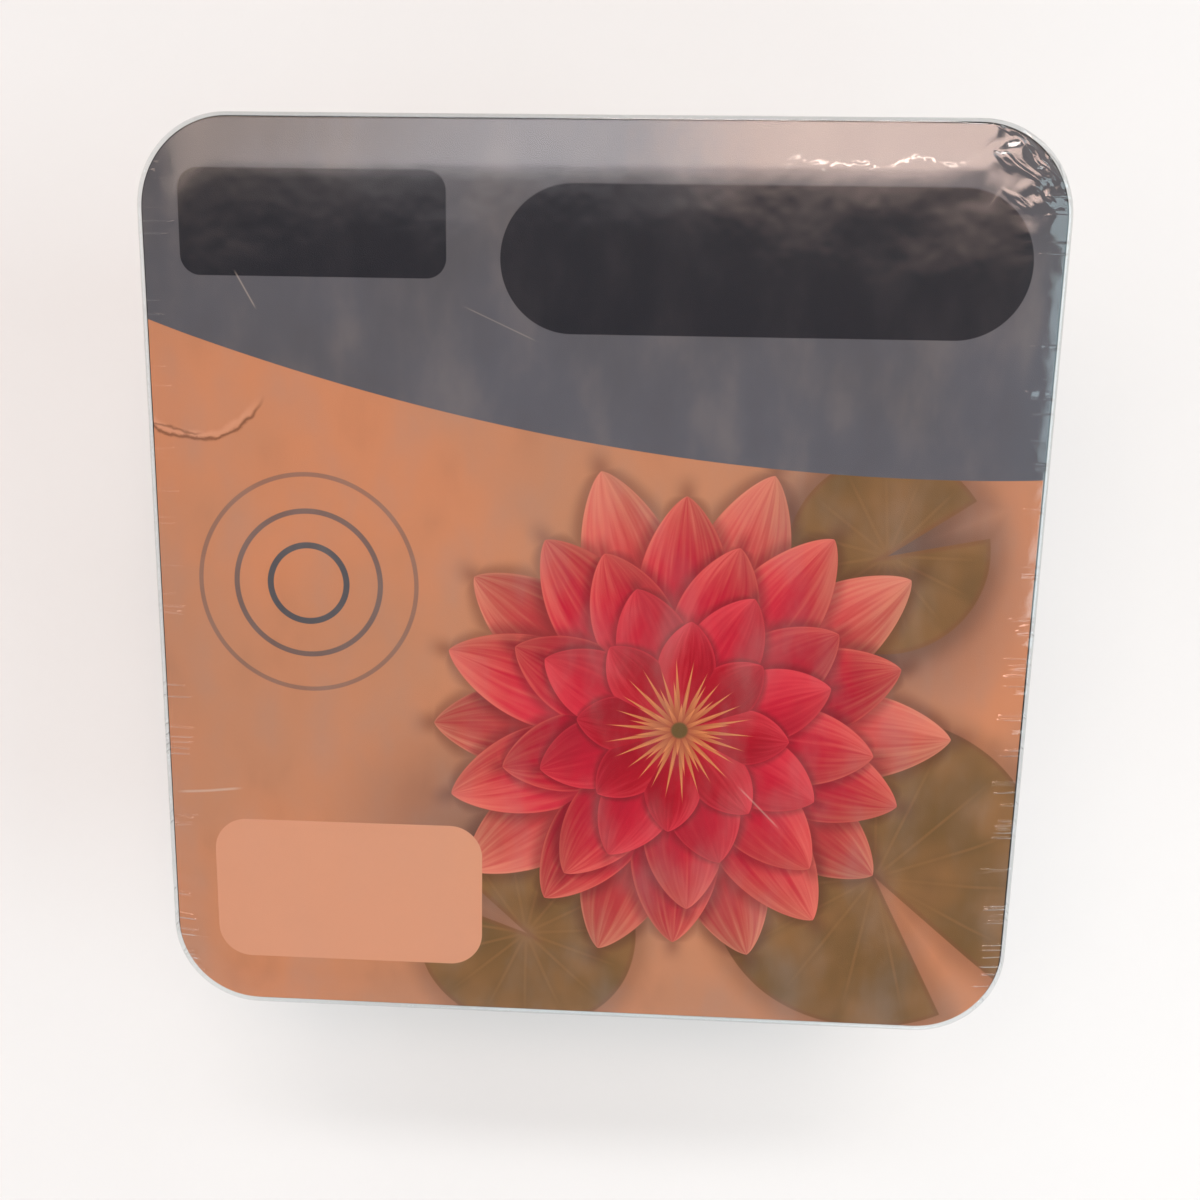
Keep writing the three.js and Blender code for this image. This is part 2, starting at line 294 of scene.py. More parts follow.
def geometry_tree(name, sizes):
    """An empty geometry tree with named inputs: the body that it works on, and sizes by their kind."""
    tree = bpy.data.node_groups.new(name, "GeometryNodeTree")
    for label, kind in {"Body": "Geometry", **sizes, "Finish": "Material"}.items():
        tree.interface.new_socket(label, in_out="INPUT", socket_type="NodeSocket" + kind)
    tree.interface.new_socket("Result", in_out="OUTPUT", socket_type="NodeSocketGeometry")
    given = tree.nodes.new("NodeGroupInput")
    return tree, {socket.name: Wire(tree, socket) for socket in given.outputs if socket.name}


def close_tree(given, result):
    """Ends a geometry tree: its instances become plain mesh with the finish that was given."""
    plain = result.node("GeometryNodeRealizeInstances", None, {0: result})
    painted = plain.node("GeometryNodeSetMaterial", None, {"Geometry": plain, "Material": given["Finish"]})
    painted.node("NodeGroupOutput", None, {0: painted})


def worked(piece, tree, sizes):
    """Runs a geometry tree on a piece, and keeps the result as the piece's own plain mesh."""
    modifier = piece.modifiers.new(tree.name, "NODES")
    modifier.node_group = tree
    for item in tree.interface.items_tree:
        if item.name in sizes:
            modifier[item.identifier] = sizes[item.name]
    evaluated = piece.evaluated_get(bpy.context.evaluated_depsgraph_get())
    made = bpy.data.meshes.new_from_object(evaluated)
    piece.modifiers.remove(modifier)
    piece.data = made


def punch_tree():
    """Cuts a grid of round-ended slots through a body, seen along the tree's own Z before its turn."""
    tree, given = geometry_tree("punched", {
        "Slot width": "Float", "Slot length": "Float", "Depth": "Float", "Columns": "Int", "Rows": "Int",
        "Column pitch": "Float", "Row pitch": "Float", "Place": "Vector", "Turn": "Vector"})
    width = given["Slot width"]
    corners = width.node("GeometryNodeCurvePrimitiveQuadrilateral", None,
                         {"Width": width, "Height": given["Slot length"]})
    outline = width.node("GeometryNodeFilletCurve", {"mode": "POLY"},
                         {"Curve": corners, "Count": 5, "Radius": width * 0.499})
    ends = [width.at(0.0, 0.0, given["Depth"] * side) for side in (-0.5, 0.5)]
    line = width.node("GeometryNodeCurvePrimitiveLine", None, {"Start": ends[0], "End": ends[1]})
    bar = width.node("GeometryNodeCurveToMesh", None, {0: line, 1: outline, "Fill Caps": True})
    grid = width.node("GeometryNodeMeshGrid", None, {
        "Size X": (given["Columns"] - 1) * given["Column pitch"],
        "Size Y": (given["Rows"] - 1) * given["Row pitch"],
        "Vertices X": given["Columns"], "Vertices Y": given["Rows"]})
    bars = width.node("GeometryNodeInstanceOnPoints", None, {"Points": grid, "Instance": bar})
    bars = width.node("GeometryNodeRealizeInstances", None, {0: bars})
    placed = width.node("GeometryNodeTransform", None,
                        {"Geometry": bars, "Translation": given["Place"], "Rotation": given["Turn"]})
    cut = width.node("GeometryNodeMeshBoolean", {"operation": "DIFFERENCE", "solver": "EXACT"},
                     {"Mesh 1": given["Body"], "Mesh 2": placed})
    close_tree(given, cut)
    return tree


def dressed(piece, node):
    """The piece stands for a CAD node: it hangs under the root body, and the node is hidden."""
    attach(piece, "root")
    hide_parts(node)


def draw_black_plastic(place):
    """Black polypropylene: a fine grain, and a cloudy gloss where it was handled."""
    grain = place.noise(700.0)
    clouds = place.noise(45.0, 4.0)
    dust = clouds.smooth(0.4, 0.75) * 0.12
    gate = hypot(place.part(0), place.part(1)).smooth(GATE_RADIUS, GATE_RADIUS * 0.8)
    return {
        "Base Color": dust.mixed(colour(22, 23, 23), colour(58, 58, 54)),
        "Roughness": 0.3 + clouds * 0.2 + gate * 0.15,
        "Specular IOR Level": 0.3,
        "Normal": place.bump(grain, 0.000012),
    }


basket_low, basket_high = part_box("basket")
rim_half = (basket_high.x, basket_high.y)
rim_top = basket_high.z
lip_bottom = rim_top - RIM_DROOP - LIP_HEIGHT
wall_top_z = rim_top - BASKET_WALL
wall_base_z = basket_low.z + BASE_ROUND
base_inset = RIM_WIDTH + TAPER


def droop(inset):
    """How far the bent band along the edge lies under the flat of the face, that far inside the rim."""
    return RIM_DROOP * np.clip(1 - np.asarray(inset) / BEND_WIDTH, 0, 1) ** 1.15


def wall_inset(z):
    """How far inside the rim's outline the outside of the wall is at a height."""
    rise = (z - wall_base_z) / (wall_top_z - wall_base_z)
    return RIM_WIDTH + TAPER * (1 - rise)


def basket_profile():
    """The basket's section, from its underside up the outside, over the rim and down the inside."""
    section = []
    for angle in np.linspace(0, math.pi / 2, 6):
        inset = base_inset + BASE_ROUND * (1 - math.sin(angle))
        section.append((inset, basket_low.z + BASE_ROUND * (1 - math.cos(angle))))
    for height in RIB_HEIGHTS:
        for side, depth in ((-1, 0), (-1, RIB_DEPTH), (1, RIB_DEPTH), (1, 0)):
            z = basket_low.z + height + side * RIB_WIDTH / 2
            section.append((wall_inset(z) - depth, z))
    section.append((RIM_WIDTH, wall_top_z))
    section.append((LIP_THICKNESS, wall_top_z - RIM_DROOP))
    section.append((LIP_THICKNESS, lip_bottom))
    for inset, z in ((0, lip_bottom), (0, rim_top - RIM_DROOP)):
        section.append((inset, z))
    for inset in np.linspace(0, BEND_WIDTH, 6)[1:]:
        section.append((inset, rim_top - float(droop(inset))))
    section.append((base_inset + BASKET_WALL, basket_low.z + BASKET_WALL))
    return section


def basket_body():
    stations = track(20)
    rings = [ring(stations, rim_half[0] - inset, rim_half[1] - inset, RIM_RADIUS - inset / 2, z)
             for inset, z in basket_profile()]
    shell = Shell()
    shell.table(rings)
    shell.lid(rings[0])
    shell.lid(rings[-1])
    return shell


black_plastic = finish("black_plastic", draw_black_plastic)
punch = punch_tree()
basket = basket_body().piece("basket_moulding", black_plastic)
for quarter in range(4):
    facing = quarter * math.pi / 2
    place = (math.sin(facing) * WALL_SLOT_REACH, -math.cos(facing) * WALL_SLOT_REACH,
             basket_low.z + WALL_SLOT_HEIGHT)
    worked(basket, punch, {**WALL_SLOTS, "Place": place, "Turn": (math.pi / 2, 0, facing),
                           "Finish": black_plastic})
worked(basket, punch, {**FLOOR_SLOTS, "Place": (0, 0, basket_low.z + BASKET_WALL / 2),
                       "Turn": (0, 0, 0), "Finish": black_plastic})
basket.data.shade_smooth()
edges = basket.modifiers.new("moulded_edges", "BEVEL")
edges.width = 0.00035
edges.segments = 2
edges.limit_method = "ANGLE"
edges.angle_limit = math.radians(32)
edges.harden_normals = True
dressed(basket, "basket")


# ---- Bags of soil and gravel --------------------------------------------------------------------
# Two pillow bags lie side by side on the basket's floor: clear film tubes filled with dark pond soil
# and with washed gravel, and heat-sealed across both ends.

SOIL_SEAL = 0.008
GRAVEL_SEAL = 0.007
BAG_SEAM = 0.0008
SEAM_HEIGHT = 0.42  # of the seam, as a share of the bag's height
WAIST = 0.035  # how far the sides pull in between the corners
STONE_RADIUS = 0.0028


def waves(u, v, length, seed, count=9):
    """A smooth uneven field, mostly between -1 and 1, with swells of about that length."""
    random = np.random.default_rng(seed)
    total = 0
    for _ in range(count):
        heading, phase = random.uniform(0, 2 * math.pi, 2)
        pace = 2 * math.pi * random.uniform(0.7, 1.5) / length
        total = total + np.sin(pace * (u * math.cos(heading) + v * math.sin(heading)) + phase)
    return total / math.sqrt(count)


def pillow(node, seal, seam, steps, dip):
    """A filled bag where a CAD node is: two crowned faces that meet in a flat seam, with a seal across
    each end. dip(x, y) says how far the face sinks, as a share of its fullness."""
    low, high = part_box(node)
    centre = (low + high) / 2
    half_x, half_y, height = high.x - centre.x, high.y - centre.y, high.z - low.z
    share_x = np.sin(np.linspace(-1, 1, steps[0]) * math.pi / 2)
    share_y = np.sin(np.linspace(-1, 1, steps[1]) * math.pi / 2)
    u, v = np.meshgrid(share_x, share_y)
    x = half_x * u * (1 - WAIST * (1 - v ** 2))
    y = half_y * v * (1 - WAIST * (1 - u ** 2))
    beyond = np.minimum(1, np.abs(u) * half_x / (half_x - seal))
    full = np.sqrt(np.clip((1 - beyond ** 4) * (1 - v ** 4), 0, 1))
    sunk = np.clip(dip(x, y), 0, 0.4)
    seam_z = SEAM_HEIGHT * height
    upper = seam_z + seam / 2 + (height - seam_z - seam / 2) * full * (1 - sunk)
    lower = seam_z - seam / 2 - (seam_z - seam / 2) * np.minimum(1, 1.3 * full)
    shell = Shell()
    sheets = [np.dstack([x + centre.x, y + centre.y, z + low.z]) for z in (upper, lower)]
    for sheet in sheets:
        shell.table(sheet, closed=False)
    borders = [np.vstack([s[0, :-1], s[:-1, -1], s[-1, :0:-1], s[:0:-1, 0]]) for s in sheets]
    shell.table(borders)
    return shell


def gathers(x, y, seal_x, seed):
    """Creases that run in from the seals at both ends."""
    depth = np.exp(-np.abs(seal_x - np.abs(x)) / 0.012)
    return depth * np.abs(waves(np.sign(x) * 0.03, y, 0.012, seed))


def draw_soil(place):
    """Dark moist soil with paler bark and fibre, pressed against clear glossy film."""
    crumbs = place.node("ShaderNodeTexVoronoi", None, {"Vector": place, "Scale": 520.0}, "Distance")
    fibre = place.noise(900.0, 4.0)
    damp = place.noise(60.0, 3.0)
    earth = fibre.smooth(0.3, 0.7).mixed(colour(30, 21, 15), colour(78, 56, 38))
    bark = place.noise(240.0, 1.0).smooth(0.66, 0.7)
    return {
        "Base Color": (bark * 0.8).mixed(earth, colour(124, 88, 55)),
        "Roughness": 0.35 + damp * 0.4,
        "Coat Weight": 0.6,
        "Coat Roughness": 0.12,
        "Normal": place.bump(crumbs + fibre * 0.5, 0.0006),
    }


def draw_gravel(place):
    """Washed gravel under film: each stone in its own grey, buff or brown, speckled."""
    tone = place.node("ShaderNodeAttribute", {"attribute_name": "tone"}, output="Fac")
    stone = tone.smooth(0.0, 0.8).mixed(colour(84, 80, 75), colour(184, 178, 166))
    stone = ((tone * 37.0 % 1).smooth(0.55, 0.9) * 0.6).mixed(stone, colour(152, 112, 78))
    speckle = place.noise(1800.0, 3.0)
    return {
        "Base Color": (speckle.smooth(0.55, 0.7) * 0.35).mixed(stone, colour(60, 56, 52)),
        "Roughness": 0.4 + speckle * 0.25,
        "Coat Weight": 0.5,
        "Coat Roughness": 0.15,
        "Normal": place.bump(speckle, 0.00012),
    }


def strewn_tree():
    """Strews small rounded lumps over a body's faces, half sunk in, each turned and sized at random.
    Every lump carries its own random number as "tone"."""
    tree, given = geometry_tree("strewn", {"Lump radius": "Float", "Per square metre": "Float",
                                           "Seed": "Int"})
    body = given["Body"]
    spots = body.node("GeometryNodeDistributePointsOnFaces", None, {
        "Mesh": body, "Density": given["Per square metre"], "Seed": given["Seed"]})
    lump = body.node("GeometryNodeMeshIcoSphere", None,
                     {"Radius": given["Lump radius"], "Subdivisions": 2})
    random = {"data_type": "FLOAT_VECTOR"}
    sizes = body.node("FunctionNodeRandomValue", random,
                      {0: (0.55, 0.45, 0.4), 1: (1.15, 1.0, 0.8), "Seed": given["Seed"]})
    turns = body.node("FunctionNodeRandomValue", random,
                      {0: (0, 0, 0), 1: (6.3, 6.3, 6.3), "Seed": given["Seed"] + 1})
    lumps = body.node("GeometryNodeInstanceOnPoints", None,
                      {"Points": spots, "Instance": lump, "Rotation": turns, "Scale": sizes})
    tone = body.node("FunctionNodeRandomValue", None, {2: 0.05, 3: 1.0, "Seed": given["Seed"] + 2}, 1)
    lumps = body.node("GeometryNodeStoreNamedAttribute", {"domain": "INSTANCE"},
                      {0: lumps, "Name": "tone", "Value": tone})
    together = tree.nodes.new("GeometryNodeJoinGeometry")
    for wire in (body, lumps):
        tree.links.new(wire.socket, together.inputs[0])
    close_tree(given, Wire(tree, together.outputs[0]))
    return tree


soil_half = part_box("soil_bag")[1].x
gravel_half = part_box("gravel_bag")[1].x
soil_finish = finish("soil_in_film", draw_soil)
gravel_finish = finish("gravel_in_film", draw_gravel)

soil_bag = pillow("soil_bag", SOIL_SEAL, BAG_SEAM, (150, 110), lambda x, y:
                  0.05 + 0.04 * waves(x, y, 0.03, 4) + 0.02 * waves(x, y, 0.009, 5)
                  + 0.10 * gathers(x, y, soil_half - SOIL_SEAL, 6)).piece("soil_filled_bag", soil_finish)
dressed(soil_bag, "soil_bag")

gravel_bag = pillow("gravel_bag", GRAVEL_SEAL, BAG_SEAM, (120, 60), lambda x, y:
                    0.11 + 0.04 * waves(x, y, 0.03, 7)
                    + 0.10 * gathers(x, y, gravel_half - GRAVEL_SEAL, 8)).piece("gravel_filled_bag",
                                                                                  gravel_finish)
worked(gravel_bag, strewn_tree(), {"Lump radius": STONE_RADIUS, "Per square metre": 62000.0, "Seed": 3,
                                   "Finish": gravel_finish})
dressed(gravel_bag, "gravel_bag")


# ---- Leaflet ------------------------------------------------------------------------------------
# The planting steps are printed on one strip of thin paper that is folded to and fro into three
# panels and lies on the soil bag.

PAPER = 0.00012
PAPER_WAVE = 0.00006
SOFT_EDGE = 0.0002  # of what is printed on paper or pressed into it
GREEN_BAND = 0.0235  # from the leaflet's middle to the band's edge
DOT_PITCH = 0.033
DOT_RADIUS = 0.012
DOT_PLACE = -0.006  # of the row of round panels, from the leaflet's middle


leaflet_low, leaflet_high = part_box("leaflet")
leaflet_middle = (leaflet_low.y + leaflet_high.y) / 2


def folded_leaflet():
    """The strip's line from the side, with round folds, drawn out along the leaflet's length."""
    fold = (leaflet_high.z - leaflet_low.z - PAPER) / 4
    run = (leaflet_high.y - leaflet_low.y) / 2 - fold - PAPER / 2
    line = []
    for panel in range(3):
        z = leaflet_low.z + PAPER / 2 + 2 * fold * panel
        heading = 1 if panel % 2 == 0 else -1
        for share in np.linspace(-1, 1, 30):
            line.append((leaflet_middle + heading * share * run, z))
        if panel < 2:
            for angle in np.linspace(-math.pi / 2, math.pi / 2, 9)[1:-1]:
                across = heading * (run + fold * math.cos(angle))
                line.append((leaflet_middle + across, z + fold + fold * math.sin(angle)))
    line = np.array(line)
    rows = []
    for x in np.linspace(leaflet_low.x, leaflet_high.x, 60):
        wave = PAPER_WAVE * waves(x, line[:, 0], 0.05, 11)
        rows.append(np.column_stack([np.full(len(line), x), line[:, 0], line[:, 1] + wave]))
    shell = Shell()
    shell.table(rows, closed=False)
    return shell


def draw_leaflet(place):
    """Uncoated paper with a soft green band and three plain round panels in a row."""
    x, y = place.part(0), place.part(1) - leaflet_middle
    fibre = place.noise(1500.0, 4.0)
    paper = fibre.mixed(colour(226, 222, 212), colour(240, 237, 229))
    band = y.smooth(GREEN_BAND, GREEN_BAND + SOFT_EDGE)
    beside = abs((x / DOT_PITCH + 0.5) % 1 - 0.5) * DOT_PITCH
    dots = hypot(beside, y - DOT_PLACE).smooth(DOT_RADIUS + SOFT_EDGE, DOT_RADIUS)
    printed = band.mixed(paper, colour(112, 132, 96))
    return {
        "Base Color": (dots * 0.8).mixed(printed, colour(196, 206, 200)),
        "Roughness": 0.75 + fibre * 0.15,
        "Normal": place.bump(fibre, 0.00003),
    }


leaflet = folded_leaflet().piece("folded_leaflet", finish("leaflet_paper", draw_leaflet))
thickness = leaflet.modifiers.new("paper", "SOLIDIFY")
thickness.thickness = PAPER
thickness.offset = 0
dressed(leaflet, "leaflet")


# ---- Rootstock and its bag ----------------------------------------------------------------------
# The dormant rootstock is a blunt brown spindle with leaf scars, reddish shoots at its growing end and
# cut roots along its flanks. It is sealed in a thin hazy bag with three round vents.

ROOT_BAG_SEAL = 0.007
ROOT_BAG_SEAM = 0.0006
VENTS = {"Slot width": 0.005, "Slot length": 0.0052, "Depth": 0.03, "Columns": 3, "Rows": 1,
         "Column pitch": 0.024, "Row pitch": 0.01}
VENT_OFFSET = 0.012  # from the bag's middle line
ROOT_LENGTH = 0.062
ROOT_RADIUS = 0.0125
ROOT_FLAT = 0.0105  # of the rootstock's underside below its axis
ROOT_RELIEF = 0.09  # of its leaf scars, as a share of its radius
SHOOTS = ((0, 0, 0.014), (28, 40, 0.012), (26, 150, 0.011), (30, 265, 0.010))  # tilt, turn, length
SHOOT_SINK = 0.005  # how deep the shoots are rooted in the rootstock's end
SHOOT_RADIUS = 0.0031
ROOTS = 8
ROOT_FRONT = 0.018  # place of the front pair of roots, from the rootstock's middle
ROOT_PITCH = 0.011
ROOT_STAGGER = 0.003  # how far one flank's roots stand behind the other's
ROOT_START = 0.005  # from the rootstock's axis, inside its skin
ROOT_REACH = 0.015
ROOT_SWEEP = 0.009  # how far a root bends back
ROOT_FALL = 0.002
ROOT_RADII = (0.0016, 0.0013)  # of a root, at the skin and at the cut


def tube(shell, path, radii, sides=12, finish_number=0):
    """A round tube along a path, with a radius at each point, closed at both ends."""
    path = np.array(path)
    along = np.gradient(path, axis=0)
    along /= np.linalg.norm(along, axis=1)[:, None]
    across = np.cross(along, (0.3, 0.2, 0.93))
    across /= np.linalg.norm(across, axis=1)[:, None]
    up = np.cross(along, across)
    angles = np.linspace(0, 2 * math.pi, sides, endpoint=False)
    rings = [point + radius * (np.cos(angles)[:, None] * a + np.sin(angles)[:, None] * b)
             for point, radius, a, b in zip(path, radii, across, up)]
    shell.table(rings, finish_number=finish_number)
    shell.lid(rings[0], finish_number)
    shell.lid(rings[-1], finish_number)


def spindle(shell, centre):
    """The rootstock's body, with diamond-shaped leaf scars in staggered rows."""
    angles = np.linspace(0, 2 * math.pi, 72, endpoint=False)
    rings = []
    for along in np.linspace(-1, 1, 64):
        girth = ROOT_RADIUS * (0.3 + 0.7 * math.sqrt(max(0.0, 1 - along ** 4)))
        scar = np.cos(4 * angles) * math.cos(5 * math.pi * along)
        rough = 0.02 * waves(angles * ROOT_RADIUS, along * ROOT_LENGTH / 2, 0.004, 21)
        reach = girth * (1 + ROOT_RELIEF * np.sign(scar) * np.abs(scar) ** 0.6 + rough)
        z = np.maximum(-ROOT_FLAT, reach * np.sin(angles))
        x = np.full(len(angles), along * ROOT_LENGTH / 2)
        rings.append(np.column_stack([x, reach * np.cos(angles), z]) + centre)
    shell.table(rings)
    shell.lid(rings[0])
    shell.lid(rings[-1])


def shoot(shell, centre, tilt, turn, length):
    """A furled young leaf: a tapering bud with a twist."""
    tilt, turn = math.radians(tilt), math.radians(turn)
    heading = np.array([math.cos(tilt), math.sin(tilt) * math.cos(turn), math.sin(tilt) * math.sin(turn)])
    steps = np.linspace(0, 1, 16)
    start = centre + (ROOT_LENGTH / 2 - SHOOT_SINK, 0, 0)
    radii = SHOOT_RADIUS * np.clip(np.interp(steps, [0, 0.35, 0.8, 1], [0.84, 1, 0.48, 0.03]), 0, 1)
    tube(shell, start + steps[:, None] * heading * length, radii, 14, 1)


def root(shell, centre, index):
    """One of the cut roots, in pairs along both flanks."""
    side = 1 if index % 2 == 0 else -1
    x = ROOT_FRONT - ROOT_PITCH * (index // 2) - ROOT_STAGGER * (index % 2)
    steps = np.linspace(0, 1, 12)
    path = np.column_stack([x - ROOT_SWEEP * steps ** 1.6, side * (ROOT_START + ROOT_REACH * steps),
                            -ROOT_FALL - ROOT_FALL * np.sin(steps * math.pi / 2)])
    tube(shell, centre + path, np.linspace(*ROOT_RADII, 12))


def draw_rootstock(place):
    """Rough brown skin in paler and darker patches, with dark pits where old roots sat."""
    skin = place.noise(420.0, 5.0)
    fibre = place.noise(1600.0, 3.0)
    brown = skin.smooth(0.3, 0.7).mixed(colour(70, 46, 29), colour(142, 106, 68))
    return {
        "Base Color": (fibre.smooth(0.6, 0.72) * 0.7).mixed(brown, colour(46, 30, 20)),
        "Roughness": 0.7 + fibre * 0.2,
        "Normal": place.bump(skin + fibre * 0.4, 0.0004),
    }


def draw_shoot(place):
    """Young furled leaf, wine red and paler to its tip, with fine lengthwise veins."""
    vein = place.noise(1300.0, 2.0)
    tip = (place.part(0) - float(shoot_start)).smooth(0.002, 0.014)
    return {
        "Base Color": tip.mixed(colour(128, 44, 40), colour(176, 128, 78)),
        "Roughness": 0.45 + vein * 0.15,
        "Normal": place.bump(vein, 0.0001),
    }


root_low, root_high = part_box("rhizome")
root_centre = np.array([root_low.x + ROOT_LENGTH / 2, (root_low.y + root_high.y) / 2,
                        root_low.z + ROOT_FLAT])
shoot_start = root_centre[0] + ROOT_LENGTH / 2 - SHOOT_SINK
rootstock = Shell()
spindle(rootstock, root_centre)
for tilt, turn, length in SHOOTS:
    shoot(rootstock, root_centre, tilt, turn, length)
for index in range(ROOTS):
    root(rootstock, root_centre, index)
rootstock = rootstock.piece("rootstock_with_shoots", finish("rootstock_skin", draw_rootstock),
                            finish("young_shoot", draw_shoot), sharp=60)
dressed(rootstock, "rhizome")


def draw_vented_film(place):
    """Thin bag film: see-through, a little hazy, glossy where it creases."""
    creases = place.noise(130.0, 3.0)
    relief = place.bump(creases, 0.0006)
    clear = place.node("ShaderNodeBsdfTransparent", None, {0: (0.96, 0.97, 0.97, 1.0)})
    haze = place.node("ShaderNodeBsdfDiffuse", None, {0: colour(206, 212, 208), "Normal": relief})
    gloss = place.node("ShaderNodeBsdfGlossy", None, {"Roughness": 0.16, "Normal": relief})
    body = place.node("ShaderNodeMixShader", None, {0: 0.12 + creases.smooth(0.5, 0.8) * 0.12,
                                                    1: clear, 2: haze})
    return place.node("ShaderNodeMixShader", None, {0: place.mirroring(relief), 1: body, 2: gloss})


bag_low, bag_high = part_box("rhizome_bag")
vented_film = finish("vented_film", draw_vented_film)
root_bag = pillow("rhizome_bag", ROOT_BAG_SEAL, ROOT_BAG_SEAM, (110, 80), lambda x, y:
                  0.02 + 0.02 * waves(x, y, 0.022, 31)
                  + 0.12 * gathers(x, y, bag_high.x - ROOT_BAG_SEAL, 32))
root_bag = root_bag.piece("vented_root_bag", vented_film)
worked(root_bag, punch, {**VENTS, "Turn": (0, 0, 0), "Finish": vented_film,
                         "Place": (0, (bag_low.y + bag_high.y) / 2 + VENT_OFFSET, bag_high.z + 0.002)})
dressed(root_bag, "rhizome_bag")


# ---- Feed sachet --------------------------------------------------------------------------------
# A flat paper sachet of plant food lies on the gravel bag, with a crimped seal at each end.

SACHET_SEAL = 0.006
SACHET_SEAM = 0.0005
CRIMP_PITCH = 0.001
STRIPE_PLACE = -0.018
STRIPE_HALF = 0.007


def draw_sachet(place):
    """Coated paper with a plain green stripe, pressed into fine ridges along both seals."""
    x = place.part(0)
    sealed = abs(x).smooth(sachet_half - SACHET_SEAL - SOFT_EDGE, sachet_half - SACHET_SEAL)
    ridges = ((x * (2 * math.pi / CRIMP_PITCH)).maths("SINE") * 0.5 + 0.5) * sealed
    fibre = place.noise(700.0, 3.0)
    stripe = abs(x - STRIPE_PLACE).smooth(STRIPE_HALF + SOFT_EDGE, STRIPE_HALF)
    paper = fibre.mixed(colour(196, 204, 206), colour(214, 220, 221))
    return {
        "Base Color": stripe.mixed(paper, colour(104, 140, 96)),
        "Roughness": 0.3 + fibre * 0.15,
        "Normal": place.bump(ridges + place.noise(160.0) * 0.8, 0.0003),
    }


sachet_half = float(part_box("feed_sachet")[1].x)
sachet = pillow("feed_sachet", SACHET_SEAL, SACHET_SEAM, (90, 44), lambda x, y:
                0.08 + 0.08 * waves(x, y, 0.02, 41) + 0.2 * gathers(x, y, sachet_half - SACHET_SEAL, 42))
sachet = sachet.piece("plant_food_sachet", finish("sachet_paper", draw_sachet))
dressed(sachet, "feed_sachet")


# ---- Printed card -------------------------------------------------------------------------------
# A die-cut board lies on the basket's rim, its margin bent down with the flange. Its face is printed
# and varnished; its core and underside are bare grey board. What is printed is given in millimetres.

CARD_THICKNESS = 0.0008
CARD_EDGE = 0.0008  # how far the card stops short of the rim's outline
SEAT = 0.0003
CARD_SAG = 0.0007  # dip of the middle of the card under the film's pull
SAG_HALF = (0.090, 0.0935)  # from the middle to where the dip ends
CREASE_DEPTH = 0.00018
CARD_STEPS = (24, 50, 52)  # points round the card: in a corner, and along the two kinds of side
CARD_GRID = 0.003

CREASE_CENTRE = (-91.5, 53)  # of the arc that the crease at the left margin follows, in millimetres,
CREASE_RADIUS = 18.2         # as all that follows
CREASE_WIDTH = 1.6
CREASE_TOP = 46
CREASE_BRANCH = ((-106, 39), (-89, 36.4))
BEND_GLINT_Y = 97.4  # of the painted glints along the bend of the top margin
BEND_GLINT_REACH = (36.0, 50.0, 72.0, 84.0)  # where it starts, is full, fades and ends, from left to right
BAND_LINE = (36, 0.157, 0.00095)  # the grey band's lower edge: height at the middle, slope, bend
# Pale fine lines painted over the print as highlights of wrinkles in the film: start, end, width and
# strength.
WRINKLE_HIGHLIGHTS = (((-81, 73), (-76, 64), 0.3, 0.35), ((-101, -51), (-83, -49), 0.5, 0.5),
             ((36, -44), (47, -55), 0.35, 0.3), ((-30, 66), (-12, 58), 0.25, 0.2))

GREY_BAND = colour(83, 82, 86)
BAND_FOOT = colour(89, 90, 98)
PLATE_INK = colour(25, 27, 35)
PANEL_INK = colour(208, 150, 120)
TAN_WARM = colour(198, 132, 95)
TAN_PALE = colour(184, 130, 99)
SHADE_INK = colour(98, 84, 80)
PAD_LIGHT = colour(150, 108, 68)
PAD_DARK = colour(98, 76, 42)
PETAL_OUTER = colour(198, 66, 66)
PETAL_MAIN = colour(196, 22, 50)
PETAL_INNER = colour(176, 8, 34)
TIP_OUTER = colour(212, 140, 112)
TIP_MAIN = colour(214, 118, 98)
TIP_INNER = colour(208, 50, 66)
STAMEN_ROOT = colour(132, 30, 24)
STAMEN_INK = colour(226, 146, 90)
PLATES = (((-63, 83), (30, 11.5), 4.5, PLATE_INK), ((37, 76), (58, 16), 16, PLATE_INK),
          ((-58, -75), (33, 18), 8, PANEL_INK))  # centre, half size, corner radius, in millimetres
SHADES = (((66, 6), 46, 0.9), ((-30, -60), 40, 0.55))  # dark clouds of the ground: centre, radius, strength
RIPPLE_CENTRE = (-66, 2)
RIPPLES = ((9, 1.3, 1.0), (17, 1.1, 0.8), (25.5, 0.9, 0.55))  # radius, width, strength
FLOWER_CENTRE = (22, -31)
FLOWER_SPREAD = 73  # past the longest petal and its shadow
PETAL_RINGS = ((10, 62, 11.5, 0.0), (10, 56, 11.0, 0.5), (9, 46, 10.0, 0.15), (8, 36, 9.0, 0.6),
               (8, 26, 7.0, 0.1))  # number, reach, half width, turn
STAMEN_RINGS = ((26, 17, 0.45, 0.2), (20, 12, 0.5, 0.55), (12, 7, 0.5, 0.1))
PADS = (((70, -66), 40, -0.9), ((68, 12), 23, 0.4), ((-14, -84), 27, 2.6))  # centre, radius, notch
PAD_SHADOW = 10


def rim_inset(x, y):
    """How far inside the rim's outline a point of the face lies."""
    over_x = np.abs(x) - (rim_half[0] - RIM_RADIUS)
    over_y = np.abs(y) - (rim_half[1] - RIM_RADIUS)
    outside = np.hypot(np.maximum(over_x, 0), np.maximum(over_y, 0))
    return RIM_RADIUS - outside - np.minimum(np.maximum(over_x, over_y), 0)


def crease(x, y):
    """The crease pressed into the left margin: 1 along its line, 0 away from it."""
    off = np.hypot(x * 1000 - CREASE_CENTRE[0], y * 1000 - CREASE_CENTRE[1]) - CREASE_RADIUS
    lower = np.clip((CREASE_TOP + 1 - y * 1000) / 4, 0, 1)
    return np.exp(-(off / CREASE_WIDTH) ** 2) * lower


